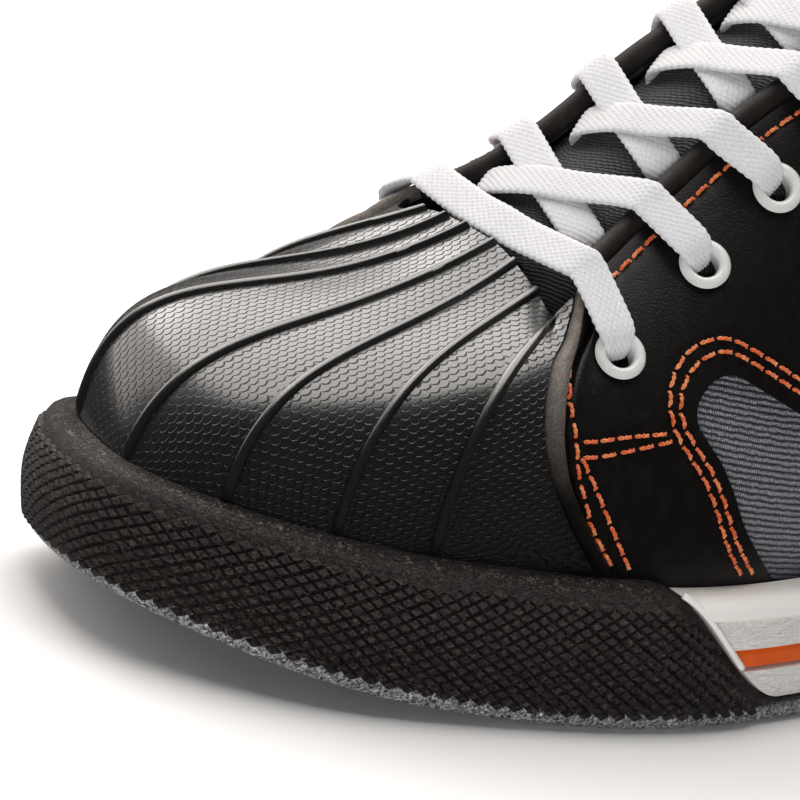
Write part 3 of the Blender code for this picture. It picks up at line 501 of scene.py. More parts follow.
def sheet(name: str, outer: Array, inner: Array, uvs: Array) -> bpy.types.Mesh:
    """Make a closed sheet.

    Args:
        name: Name of the mesh.
        outer: Grid of points on its outer face.
        inner: The same grid on its inner face.
        uvs: The grid's UVs, in metres.

    Returns:
        The mesh.
    """
    rows, columns = outer.shape[:2]
    size = rows * columns
    faces = grid_faces(rows, columns).tolist() + grid_faces(rows, columns, size)[:, ::-1].tolist()
    rim = [row * columns for row in range(rows)]
    rim += [(rows - 1) * columns + column for column in range(1, columns)]
    rim += [row * columns + columns - 1 for row in range(rows - 2, -1, -1)]
    rim += list(range(columns - 2, 0, -1))
    faces += [(start, end, end + size, start + size) for start, end in zip(rim, rim[1:] + rim[:1])]
    points = np.concatenate((outer.reshape(-1, 3), inner.reshape(-1, 3)))
    flat = uvs.reshape(-1, 2)
    return mesh_of(name, points, faces, np.concatenate((flat, flat)))


def tube(name: str, rings: Array, uvs: Array, wrap: bool = False) -> bpy.types.Mesh:
    """Skin a row of closed rings of points.

    Args:
        name: Name of the mesh.
        rings: The rings, one a row.
        uvs: Their UVs, in metres.
        wrap: Whether the last ring joins the first; otherwise a fan closes each end.

    Returns:
        The mesh.
    """
    rows, columns = rings.shape[:2]
    faces = grid_faces(rows, columns, wrap_rows=wrap, wrap_columns=True).tolist()
    points, flat = rings.reshape(-1, 3), uvs.reshape(-1, 2)
    if not wrap:
        for first, ring in ((0, rings[0]), ((rows - 1) * columns, rings[-1])):
            middle = len(points)
            points = np.vstack((points, ring.mean(axis=0)))
            flat = np.vstack((flat, flat[first]))
            faces += [(first + index, first + (index + 1) % columns, middle) for index in range(columns)]
    return mesh_of(name, points, faces, flat)


def run_lengths(grid: Array, axis: int) -> Array:
    """Measure the distance along each line of a grid, from its start.

    Args:
        grid: A grid of points.
        axis: Which way its lines run: 0 down the columns, 1 along the rows.

    Returns:
        A distance for each point.
    """
    steps = np.linalg.norm(np.diff(grid, axis=axis), axis=-1)
    pad = [(0, 0), (0, 0)]
    pad[axis] = (1, 0)
    return np.cumsum(np.pad(steps, pad), axis=axis)


def lengths_uv(grid: Array) -> Array:
    """Use the distances along and up a grid of points as its UV, in metres."""
    return np.stack((run_lengths(grid, 1), run_lengths(grid, 0)), axis=-1)


def carve(mesh: bpy.types.Mesh, cutter: bpy.types.Mesh) -> bpy.types.Mesh:
    """Cut a closed mesh with another.

    Args:
        mesh: The mesh that is cut.
        cutter: The mesh that is taken out of it.

    Returns:
        What is left.
    """
    piece, tool = (linked(each.name + "_blank", each) for each in (mesh, cutter))
    boolean = piece.modifiers.new("cut", "BOOLEAN")
    boolean.operation, boolean.object, boolean.solver = "DIFFERENCE", tool, "EXACT"
    result = plain_mesh(piece, mesh.name)
    for each in (piece, tool):
        bpy.data.objects.remove(each, do_unlink=True)
    return result


def plain_mesh(piece: bpy.types.Object, name: str) -> bpy.types.Mesh:
    """Turn an object with live modifiers into a plain mesh.

    Args:
        piece: The object.
        name: Name of the mesh that comes out.

    Returns:
        The mesh.
    """
    graph = bpy.context.evaluated_depsgraph_get()
    result = bpy.data.meshes.new_from_object(piece.evaluated_get(graph), depsgraph=graph)
    result.name = name
    return result


def shaped(name: str, shape: bmesh.types.BMesh) -> bpy.types.Mesh:
    """Turn a bmesh into a mesh and let the bmesh go.

    Args:
        name: Name of the mesh.
        shape: The bmesh.

    Returns:
        The mesh.
    """
    mesh = bpy.data.meshes.new(name)
    shape.to_mesh(mesh)
    shape.free()
    return mesh


def joined(name: str, meshes: Sequence[bpy.types.Mesh]) -> bpy.types.Mesh:
    """Put several meshes into one.

    Args:
        name: Name of the mesh that comes out.
        meshes: The meshes.

    Returns:
        The one mesh.
    """
    shape = bmesh.new()
    for mesh in meshes:
        shape.from_mesh(mesh)
    return shaped(name, shape)


# Node trees


class Signal:
    """A value in a node tree that can be written in ordinary arithmetic."""

    def __init__(self, tree: bpy.types.NodeTree, socket: bpy.types.NodeSocket) -> None:
        """Wrap one output socket of a node tree."""
        self.tree, self.socket = tree, socket

    def _math(self, operation: str, *values: Any) -> "Signal":
        """Add one Math node on values or signals and return its output."""
        node = add_node(self.tree, "ShaderNodeMath", {"operation": operation}, dict(enumerate(values)))
        return Signal(self.tree, node.outputs[0])

    def __add__(self, other: Any) -> "Signal":
        """Add a signal or number."""
        return self._math("ADD", self, other)

    __radd__ = __add__

    def __sub__(self, other: Any) -> "Signal":
        """Take away a signal or number."""
        return self._math("SUBTRACT", self, other)

    def __rsub__(self, other: Any) -> "Signal":
        """Take this signal from a number."""
        return self._math("SUBTRACT", other, self)

    def __mul__(self, other: Any) -> "Signal":
        """Multiply by a signal or number."""
        return self._math("MULTIPLY", self, other)

    __rmul__ = __mul__

    def __truediv__(self, other: Any) -> "Signal":
        """Divide by a signal or number."""
        return self._math("DIVIDE", self, other)

    def __pow__(self, other: Any) -> "Signal":
        """Raise to a power."""
        return self._math("POWER", self, other)

    def __mod__(self, other: Any) -> "Signal":
        """Give the remainder after a division, from 0 up."""
        return self._math("FLOORED_MODULO", self, other)

    def absolute(self) -> "Signal":
        """Drop the sign."""
        return self._math("ABSOLUTE", self)

    def sine(self) -> "Signal":
        """Take the sine of radians."""
        return self._math("SINE", self)

    def floor(self) -> "Signal":
        """Round down."""
        return self._math("FLOOR", self)

    def at_most(self, other: Any) -> "Signal":
        """Take the lesser of this and another."""
        return self._math("MINIMUM", self, other)

    def ramp(self, start: float, end: float) -> "Signal":
        """Rise smoothly from 0 to 1.

        Args:
            start: The value at which the result is 0.
            end: The value at which it is 1, which may be the lesser one.

        Returns:
            The result.
        """
        flip = start > end
        node = add_node(self.tree, "ShaderNodeMapRange", {"interpolation_type": "SMOOTHSTEP"}, {
            "Value": self, "From Min": min(start, end), "From Max": max(start, end),
            "To Min": 1.0 if flip else 0.0, "To Max": 0.0 if flip else 1.0})
        return Signal(self.tree, node.outputs["Result"])


def feed(tree: bpy.types.NodeTree, socket: bpy.types.NodeSocket, value: Any) -> None:
    """Link an input, or set it.

    Args:
        tree: The tree that holds the input.
        socket: The input.
        value: A signal, an output socket or a plain value; a plain colour has three numbers.
    """
    if isinstance(value, Signal):
        value = value.socket
    if isinstance(value, bpy.types.NodeSocket):
        tree.links.new(value, socket)
    else:
        socket.default_value = (*value, 1) if socket.type == "RGBA" else value


def add_node(tree: bpy.types.NodeTree, kind: str, settings: Mapping[str, Any],
             inputs: Mapping[Any, Any]) -> bpy.types.Node:
    """Add a node to a tree.

    Args:
        tree: The tree.
        kind: The node's type.
        settings: Its settings, set first.
        inputs: Values, signals or sockets of its inputs, by name or index.

    Returns:
        The node.
    """
    node = tree.nodes.new(kind)
    for key, value in settings.items():
        setattr(node, key, value)
    for key, value in inputs.items():
        feed(tree, node.inputs[key], value)
    return node


class TreeBuilder:
    """Something that adds nodes to a tree of its own."""

    tree: bpy.types.NodeTree

    def node(self, kind: str, inputs: Mapping[Any, Any], **settings: Any) -> bpy.types.Node:
        """Add a node with its settings and the values or sockets of its inputs."""
        return add_node(self.tree, kind, settings, inputs)

    def signal(self, socket: bpy.types.NodeSocket) -> Signal:
        """Wrap a socket."""
        return Signal(self.tree, socket)


class GrowingTree(TreeBuilder):
    """A Geometry Nodes tree built in the script, with named sizes."""

    def __init__(self, name: str, sizes: Mapping[str, float]) -> None:
        """Start a tree with a geometry input and one number for each size.

        Args:
            name: Name of the tree.
            sizes: Value of each named size.
        """
        self.tree = bpy.data.node_groups.new(name, "GeometryNodeTree")
        face = self.tree.interface
        face.new_socket("Geometry", in_out="INPUT", socket_type="NodeSocketGeometry")
        self.values = {}
        for key, value in sizes.items():
            socket = face.new_socket(key, in_out="INPUT", socket_type="NodeSocketFloat")
            self.values[socket.identifier] = float(value)
        face.new_socket("Geometry", in_out="OUTPUT", socket_type="NodeSocketGeometry")
        self.start = self.tree.nodes.new("NodeGroupInput")

    def size(self, name: str) -> Signal:
        """Give a named size as a signal."""
        return self.signal(self.start.outputs[name])

    def vector(self, x: Any = 0.0, y: Any = 0.0, z: Any = 0.0) -> bpy.types.NodeSocket:
        """Combine three numbers or signals into a vector."""
        return self.node("ShaderNodeCombineXYZ", {0: x, 1: y, 2: z}).outputs[0]

    def set_out(self, shape: bpy.types.NodeSocket) -> bpy.types.NodeSocket:
        """Put a shape on every point of the host, turned by the point's own directions.

        Args:
            shape: The geometry that is repeated.

        Returns:
            The instances.
        """
        facing, run = (self.node("GeometryNodeInputNamedAttribute", {"Name": key},
                                 data_type="FLOAT_VECTOR").outputs[0] for key in ("facing", "run"))
        turn = self.node("FunctionNodeAxesToRotation", {0: facing, 1: run},
                         primary_axis="Z", secondary_axis="X").outputs[0]
        return self.node("GeometryNodeInstanceOnPoints", {
            "Points": self.start.outputs["Geometry"], "Instance": shape, "Rotation": turn}).outputs[0]

    def grow(self, name: str, shape: bpy.types.NodeSocket, host: bpy.types.Mesh,
             material: bpy.types.Material) -> bpy.types.Mesh:
        """Repeat a shape on the points of a host mesh and turn the result into a plain mesh.

        Args:
            name: Name of the mesh that comes out.
            shape: The geometry that is repeated.
            host: The mesh whose points carry it.
            material: The material of everything that comes out.

        Returns:
            The mesh.
        """
        real = self.node("GeometryNodeRealizeInstances", {"Geometry": self.set_out(shape)})
        dressed = self.node("GeometryNodeSetMaterial", {"Geometry": real.outputs[0], "Material": material})
        end = self.tree.nodes.new("NodeGroupOutput")
        self.tree.links.new(dressed.outputs[0], end.inputs[0])
        holder = linked(name, host)
        modifier = holder.modifiers.new("growth", "NODES")
        modifier.node_group = self.tree
        for identifier, value in self.values.items():
            modifier[identifier] = value
        mesh = plain_mesh(holder, name)
        bpy.data.objects.remove(holder, do_unlink=True)
        return mesh


def placed(name: str, points: Array, facings: Array, runs: Array) -> bpy.types.Mesh:
    """Make a mesh of loose points that a shape can be set out on.

    Args:
        name: Name of the mesh.
        points: The points.
        facings: The way that the shape's top faces at each point.
        runs: The way that its length runs there.

    Returns:
        The mesh.
    """
    mesh = bpy.data.meshes.new(name)
    mesh.from_pydata(np.asarray(points, float).tolist(), [], [])
    for key, values in (("facing", facings), ("run", runs)):
        layer = mesh.attributes.new(key, "FLOAT_VECTOR", "POINT")
        layer.data.foreach_set("vector", np.asarray(values, np.float32).ravel())
    return mesh


# Materials


Colour = tuple[float, float, float]


class Recipe(TreeBuilder):
    """The node tree of one material, built step by step."""

    def __init__(self, name: str, roughness: float, **sockets: float) -> None:
        """Start a material.

        Args:
            name: Name of the material.
            roughness: Its roughness, until another is fed to it.
            sockets: Plain values of the shader's other sockets.
        """
        self.material = bpy.data.materials.new(name)
        self.material.use_nodes = True
        self.tree = self.material.node_tree
        self.shader = self.tree.nodes["Principled BSDF"]
        self.shader.inputs["Roughness"].default_value = roughness
        for socket, value in sockets.items():
            self.shader.inputs[socket.replace("_", " ").title().replace("Ior", "IOR")].default_value = value

    def stretched(self, place: bpy.types.NodeSocket, scale: Colour) -> bpy.types.NodeSocket:
        """Scale coordinates along each axis."""
        return self.node("ShaderNodeVectorMath", {0: place, 1: scale}, operation="MULTIPLY").outputs[0]

    def place(self, scale: Colour = (1, 1, 1)) -> bpy.types.NodeSocket:
        """Give object coordinates, scaled along each axis."""
        return self.stretched(self.node("ShaderNodeTexCoord", {}).outputs["Object"], scale)

    def unrolled(self) -> tuple[Signal, Signal, bpy.types.NodeSocket]:
        """Give the two halves of the piece's UV in metres, and the UV itself.

        Returns:
            The first and second coordinate, and the UV socket.
        """
        uv = self.node("ShaderNodeUVMap", {}, uv_map="UVMap").outputs[0]
        split = self.node("ShaderNodeSeparateXYZ", {0: uv})
        return self.signal(split.outputs[0]), self.signal(split.outputs[1]), uv

    def noise(self, place: Any, scale: float, detail: float = 3.0, distortion: float = 0.0,
              roughness: float = 0.5) -> Signal:
        """Give cloudy noise from 0 to 1.

        Args:
            place: Coordinates.
            scale: How many clouds a metre holds.
            detail: How many finer layers it has.
            distortion: How far it is stirred.
            roughness: How strong the finer layers are.

        Returns:
            The noise.
        """
        node = self.node("ShaderNodeTexNoise", {"Vector": place, "Scale": scale, "Detail": detail,
                                                "Distortion": distortion, "Roughness": roughness})
        return self.signal(node.outputs["Fac"])

    def cells(self, place: Any, scale: float) -> Signal:
        """Give the distance to the nearest of scattered points."""
        node = self.node("ShaderNodeTexVoronoi", {"Vector": place, "Scale": scale})
        return self.signal(node.outputs["Distance"])

    def blend(self, factor: Any, first: Any, second: Any) -> bpy.types.NodeSocket:
        """Mix two colours, each a plain colour or a socket, and return the result's socket."""
        return self.node("ShaderNodeMix", {0: factor, 6: first, 7: second}, data_type="RGBA").outputs[2]

    def bump(self, height: Signal, depth: float) -> bpy.types.NodeSocket:
        """Raise the surface by a height from 0 to 1 that stands for a depth in metres."""
        return self.node("ShaderNodeBump", {"Height": height, "Distance": depth}).outputs["Normal"]

    def finish(self, colour: Any, roughness: Any = None, normal: Any = None,
               coat: Any = None) -> bpy.types.Material:
        """Feed the shader.

        Args:
            colour: Colour of the surface, plain or from a socket.
            roughness: Its roughness, if it isn't the recipe's.
            normal: Its bump.
            coat: Weight of the clear coat.

        Returns:
            The material.
        """
        for name, value in (("Base Color", colour), ("Roughness", roughness), ("Normal", normal),
                            ("Coat Weight", coat)):
            if value is not None:
                feed(self.tree, self.shader.inputs[name], value)
        return self.material


@dataclass(frozen=True)
class GuardRubber:
    """Moulded rubber of the toe guard, finely wrinkled, with a painted highlight on its wrinkles and specks
    and painted shade in its crease lines, and sanded grey along its lower edge, that grey made lighter as
    painted light.
    """

    name: str = "guard_rubber"
    dark: Colour = (0.0110, 0.0094, 0.0088)
    # painted highlight: a lighter tone laid on the wrinkle tops and specks of the grain in place of light
    # glinting off it
    painted_highlight: Colour = (0.115, 0.098, 0.090)
    # sanded grey of the lower band: its own grit, made lighter than it is as painted light for the low light
    # from the front
    sanded_and_painted_light: Colour = (0.80, 0.79, 0.79)
    edge_height: float = 0.0040
    edge_blur: float = 0.0008
    relief: float = 0.0009
    knurl_relief: float = 0.0002
    edged: bool = True

    def make(self) -> bpy.types.Material:
        """Build the material.

        Returns:
            The material.
        """
        recipe = Recipe(self.name, 0.5, specular_ior_level=0.42)
        place = recipe.place((1, 1, 2.2))
        wrinkles = recipe.noise(place, 640, 3, 1.3, 0.55)
        crease = (wrinkles - 0.5).absolute().ramp(0.0, 0.12)
        specks = recipe.noise(recipe.place(), 2200, 2)
        height = crease * 0.9 + specks * 0.3
        # painted shade: the crease lines keep the dark tone, while the wrinkles between them and the specks
        # take the painted highlight
        colour = recipe.blend(crease * 0.34 + specks.ramp(0.52, 0.75) * 0.5, self.dark, self.painted_highlight)
        if self.edged:
            _, up, _ = recipe.unrolled()
            grit = recipe.cells(recipe.place(), 1300).ramp(0.15, 0.55)
            cloud = recipe.noise(recipe.place(), 1500, 3, 0.8).ramp(0.44, 0.58)
            edge = up.ramp(self.edge_height + self.edge_blur, self.edge_height - self.edge_blur)
            # the lower band takes the sanded grey, partly painted light
            colour = recipe.blend(edge * (grit * 0.25 + cloud * 0.75).at_most(1.0), colour, self.sanded_and_painted_light)
            height = height + edge * grit * 0.8
        roughness = 0.36 + specks * 0.25
        depth = self.relief if self.edged else self.knurl_relief
        return recipe.finish(colour, roughness, recipe.bump(height, depth))


@dataclass(frozen=True)
class CapRubber:
    """Glossy toe cap rubber engraved with rows of small arcs, with painted shade in the engraved trenches."""

    name: str = "cap_rubber"
    body: Colour = (0.0065, 0.0058, 0.0055)
    # painted shade: near-black laid in the engraved trenches in place of their shadow
    groove_shade: Colour = (0.0015, 0.0015, 0.0015)
    arc: float = 0.0022
    row: float = 0.00130
    depth: float = 0.00020
    pores: float = 0.00003
    sway: float = 0.0006
    coat: float = 0.5
    engraved: bool = True

    def make(self) -> bpy.types.Material:
        """Build the material.

        Returns:
            The material.
        """
        recipe = Recipe(self.name, 0.32, specular_ior_level=0.9, coat_roughness=0.24)
        grain = recipe.noise(recipe.place(), 3000, 2)
        if not self.engraved:
            return recipe.finish(self.body, 0.24 + grain * 0.1, recipe.bump(grain, self.pores), self.coat)
        along, across, uv = recipe.unrolled()
        across = across + (recipe.noise(uv, 260, 2) - 0.5) * self.sway
        along = along + (recipe.noise(uv, 900, 1) - 0.5) * self.sway
        line = (across / self.row).floor()
        part = ((along / self.arc) + line * 0.5) % 1.0
        belly = (0.25 - (part - 0.5) * (part - 0.5)) * 1.7
        height = ((across / self.row) % 1.0) - 0.30 - belly
        trench = height.absolute().ramp(0.17, 0.05) * (part - 0.5).absolute().ramp(0.49, 0.41)
        relief = 1 - trench + height.ramp(-0.5, 0.6) * 0.12 + grain * 0.05
        # painted shade: the trenches darken towards this near-black
        colour = recipe.blend(trench * 0.9, self.body, self.groove_shade)
        return recipe.finish(colour, 0.25 + trench * 0.45 + grain * 0.05, recipe.bump(relief, self.depth),
                             self.coat * (1 - trench))


@dataclass(frozen=True)
class Leather:
    """Smooth black leather with a fine grain, creased where it bends; a rolled front edge gets a painted
    highlight that fades out lower down.
    """

    name: str = "leather"
    body: Colour = (0.0048, 0.0042, 0.0040)
    rubbed: Colour = (0.040, 0.033, 0.029)
    # painted highlight: the light tone of the rolled front edge, standing in for the light that the roll
    # catches
    painted_highlight: Colour = (0.21, 0.182, 0.160)
    gloss: float = 0.34
    wrinkled: float = 0.0
    # how far behind the front edge the roll reaches, and the heights between which its painted highlight
    # comes in
    rolled: float = 0.0
    roll_blur: float = 0.0006
    highlight_span: Sequence[float] = (0.022, 0.050)
    grain_depth: float = 0.00012
    wrinkle_depth: float = 0.0002

    def make(self) -> bpy.types.Material:
        """Build the material.

        Returns:
            The material.
        """
        recipe = Recipe(self.name, self.gloss, specular_ior_level=0.2)
        pores = recipe.cells(recipe.place(), 1900)
        cloud = recipe.noise(recipe.place(), 70, 4)
        fold = recipe.noise(recipe.place((1, 1, 0.6)), 420, 3, 0.6)
        height = pores.ramp(0.0, 0.55) * 0.35 + fold * (0.3 + self.wrinkled) + cloud * 0.4
        rubs = fold.ramp(0.45, 0.8) * (0.12 + 0.5 * self.wrinkled)
        roughness = self.gloss - 0.05 + cloud * 0.16 + pores * 0.08
        if self.rolled:
            behind, up, _ = recipe.unrolled()
            # the roll's mask carries its bump and its painted highlight, which fades out lower down where the
            # roll turns away from the light
            roll = behind.ramp(self.rolled, self.rolled - self.roll_blur) * up.ramp(*self.highlight_span)
            roughness = roughness + roll * 0.1
        colour = recipe.blend(rubs, self.body, self.rubbed)
        if self.rolled:
            # painted highlight on the roll, broken up by the folds and pores
            colour = recipe.blend(roll * (0.1 + fold * 0.5 + pores * 0.5), colour, self.painted_highlight)
            height = height + roll * fold * 1.2
        depth = self.grain_depth + self.wrinkle_depth * self.wrinkled
        return recipe.finish(colour, roughness, recipe.bump(height, depth))


@dataclass(frozen=True)
class Twill:
    """Ribbed woollen twill: rows of pale twisted yarn on dark ground, in UV along and across the rows."""

    name: str = "twill"
    ground: Colour = (0.013, 0.015, 0.021)
    yarn: Colour = (0.56, 0.585, 0.65)
    row: float = 0.00128
    stitch: float = 0.00062
    plain_until: float = -1.0
    plain_blur: float = 0.006
    sway: float = 0.0008
    depth: float = 0.0004

    def make(self) -> bpy.types.Material:
        """Build the material.

        Returns:
            The material.
        """
        recipe = Recipe(self.name, 0.85, sheen_weight=0.12)
        along, reach, uv = recipe.unrolled()
        across = reach + (recipe.noise(uv, 420, 2) - 0.5) * self.sway
        line = (across / self.row).floor()
        middle = ((across / self.row) % 1.0 - 0.5).absolute()
        ridge = middle.ramp(0.44, 0.12)
        twist = (((along / self.stitch) + line * 0.37 + middle * 0.9) % 1.0 - 0.5).absolute().ramp(0.46, 0.1)
        fibre = recipe.noise(recipe.stretched(uv, (1.0, 2.2, 1.0)), 2600, 3, 0.4)
        patch = recipe.noise(uv, 1200, 2)
        pale = ridge * (0.35 + 0.65 * twist) * fibre.ramp(0.34, 0.66) * 0.9 + patch.ramp(0.55, 0.8) * 0.2
        pale = (pale * reach.ramp(self.plain_until, self.plain_until + self.plain_blur)).at_most(1.0)
        colour = recipe.blend(pale, self.ground, self.yarn)
        height = ridge * 0.6 + ridge * twist * 0.25 + fibre * 0.3
        return recipe.finish(colour, 0.82 + fibre * 0.1, recipe.bump(height, self.depth))


@dataclass(frozen=True)
class Foam:
    """Off-white moulded foam, smooth on the lip and wrinkled on the wall, with painted shade along the wall's
    crease lines.
    """

    name: str = "midsole_foam"
    body: Colour = (0.83, 0.80, 0.765)
    # shade: a darker tone, laid as fine noise all over and, on the wall, as painted shade along the crease
    # lines
    shade: Colour = (0.50, 0.46, 0.41)
    lip_foot: float = 0.0229
    lip_blur: float = 0.0002
    wrinkle_depth: float = 0.00011
    pores: float = 0.00003
    grained: bool = True

    def make(self) -> bpy.types.Material:
        """Build the material.

        Returns:
            The material.
        """
        recipe = Recipe(self.name, 0.5)
        fine = recipe.noise(recipe.place(), 1500, 2)
        if not self.grained:
            colour = recipe.blend(fine * 0.06, self.body, self.shade)
            return recipe.finish(colour, 0.42, recipe.bump(fine, self.pores))
        _, up, _ = recipe.unrolled()
        wall = up.ramp(self.lip_foot + self.lip_blur, self.lip_foot - self.lip_blur)
        wrinkles = recipe.noise(recipe.place((1.0, 0.7, 2.3)), 760, 3, 1.3, 0.5)
        crease = (wrinkles - 0.5).absolute().ramp(0.0, 0.11)
        # painted shade: the wall darkens along its crease lines
        colour = recipe.blend(wall * (1 - crease) * 0.07 + fine * 0.04, self.body, self.shade)
        return recipe.finish(colour, 0.5, recipe.bump(wall * crease * 0.9 + fine * 0.1, self.wrinkle_depth))


@dataclass(frozen=True)
class Plain:
    """One-coloured moulded or woven finish with fine noise in its colour, gloss and surface."""

    name: str
    body: Colour
    shade: Colour
    gloss: float
    grain: float = 900.0
    depth: float = 0.00005
    coat: float = 0.0

    def make(self) -> bpy.types.Material:
        """Build the material.

        Returns:
            The material.
        """
        recipe = Recipe(self.name, self.gloss, coat_weight=self.coat)
        grain = recipe.noise(recipe.place(), self.grain, 3)
        colour = recipe.blend(grain.ramp(0.3, 0.8) * 0.6, self.body, self.shade)
        return recipe.finish(colour, self.gloss - 0.05 + grain * 0.1, recipe.bump(grain, self.depth))


@dataclass(frozen=True)
class Thread:
    """Waxed orange sewing thread, with paler peach patches as painted highlight and fine dark flecks as
    painted shade between its strands.
    """

    name: str = "orange_thread"
    body: Colour = (0.74, 0.125, 0.022)
    # pale: paler peach patches laid at random as painted highlight
    pale: Colour = (0.95, 0.38, 0.13)
    # shade: dark flecks laid by fine noise as painted shade between the strands
    shade: Colour = (0.28, 0.03, 0.006)
    depth: float = 0.0001

    def make(self) -> bpy.types.Material:
        """Build the material.

        Returns:
            The material.
        """
        recipe = Recipe(self.name, 0.5, sheen_weight=0.2)
        fibre = recipe.noise(recipe.place(), 2400, 3)
        patch = recipe.noise(recipe.place(), 520, 2)
        colour = recipe.blend(patch.ramp(0.42, 0.68) * 0.8, self.body, self.pale)
        colour = recipe.blend(fibre.ramp(0.62, 0.35) * 0.45, colour, self.shade)
        return recipe.finish(colour, 0.45 + fibre * 0.2, recipe.bump(fibre, self.depth))


@dataclass(frozen=True)
class LaceCotton:
    """White braided cotton, its braid in the piece's own relief and fine fibres in the material."""

    name: str = "lace_cotton"
    body: Colour = (0.64, 0.64, 0.655)
    shade: Colour = (0.44, 0.435, 0.46)
    depth: float = 0.00008

    def make(self) -> bpy.types.Material:
        """Build the material.

        Returns:
            The material.
        """
        recipe = Recipe(self.name, 0.85, sheen_weight=0.25)
        fibre = recipe.noise(recipe.place(), 2800, 3)
        colour = recipe.blend(fibre.ramp(0.62, 0.3) * 0.35, self.body, self.shade)
        return recipe.finish(colour, 0.85, recipe.bump(fibre, self.depth))


# Pieces of the sole


def sole_stations(count: int) -> Array:
    """Give evenly spaced shares round the sole."""
    return np.arange(count) / count


def ladder(first: int, count: int) -> list[tuple[int, ...]]:
    """Close a ring with rungs from one side of the shoe to the other.

    Args:
        first: Index of the ring's first point.
        count: How many points it has.

    Returns:
        The faces.
    """
    half = count // 2
    faces = [(first, first + 1, first + count - 1), (first + half - 1, first + half, first + half + 1)]
    faces += [(first + rung, first + rung + 1, first + count - rung - 1, first + count - rung)
              for rung in range(1, half - 1)]
    return faces


def ring_stack(name: str, rings: Array, uvs: Array, lap: float, capped: bool = True) -> bpy.types.Mesh:
    """Skin a stack of rings round the sole.

    Args:
        name: Name of the mesh.
        rings: The rings, one a row.
        uvs: Their UVs, in metres.
        lap: Length of the UV once round.
        capped: Whether rungs close the first and last ring; otherwise those two are joined.

    Returns:
        The mesh.
    """
    rows, count = rings.shape[:2]
    faces = grid_faces(rows, count, wrap_rows=not capped, wrap_columns=True).tolist()
    if capped:
        faces += ladder(0, count) + ladder((rows - 1) * count, count)
    return mesh_of(name, rings.reshape(-1, 3), faces, uvs.reshape(-1, 2), lap)


@dataclass
class GuardSpace:
    """The room that the toe guard takes out of the midsole and its stripe."""

    last: Last
    stations: int = 360
    outside: float = 0.006
    below: float = 0.004

    def cutter(self) -> bpy.types.Mesh:
        """Build the room as a closed mesh.

        Returns:
            The mesh.
        """
        last, shares = self.last, sole_stations(self.stations)
        margin = 0.8 * last.gap
        top = last.guard_top(last.sole_edge(shares)[:, 1]) + margin
        floor = last.ground(last.sole_edge(shares, last.cup_wall + last.gap)[:, 1]) + last.tread + margin
        rows = ((-self.outside, np.full(len(shares), -self.below)), (-self.outside, top),
                (last.cup_wall + last.gap, top), (last.cup_wall + last.gap, floor))
        rings = np.array([np.column_stack((last.sole_edge(shares, inset), height)) for inset, height in rows])
        return ring_stack("guard_space", rings, rings[..., :2], 0)


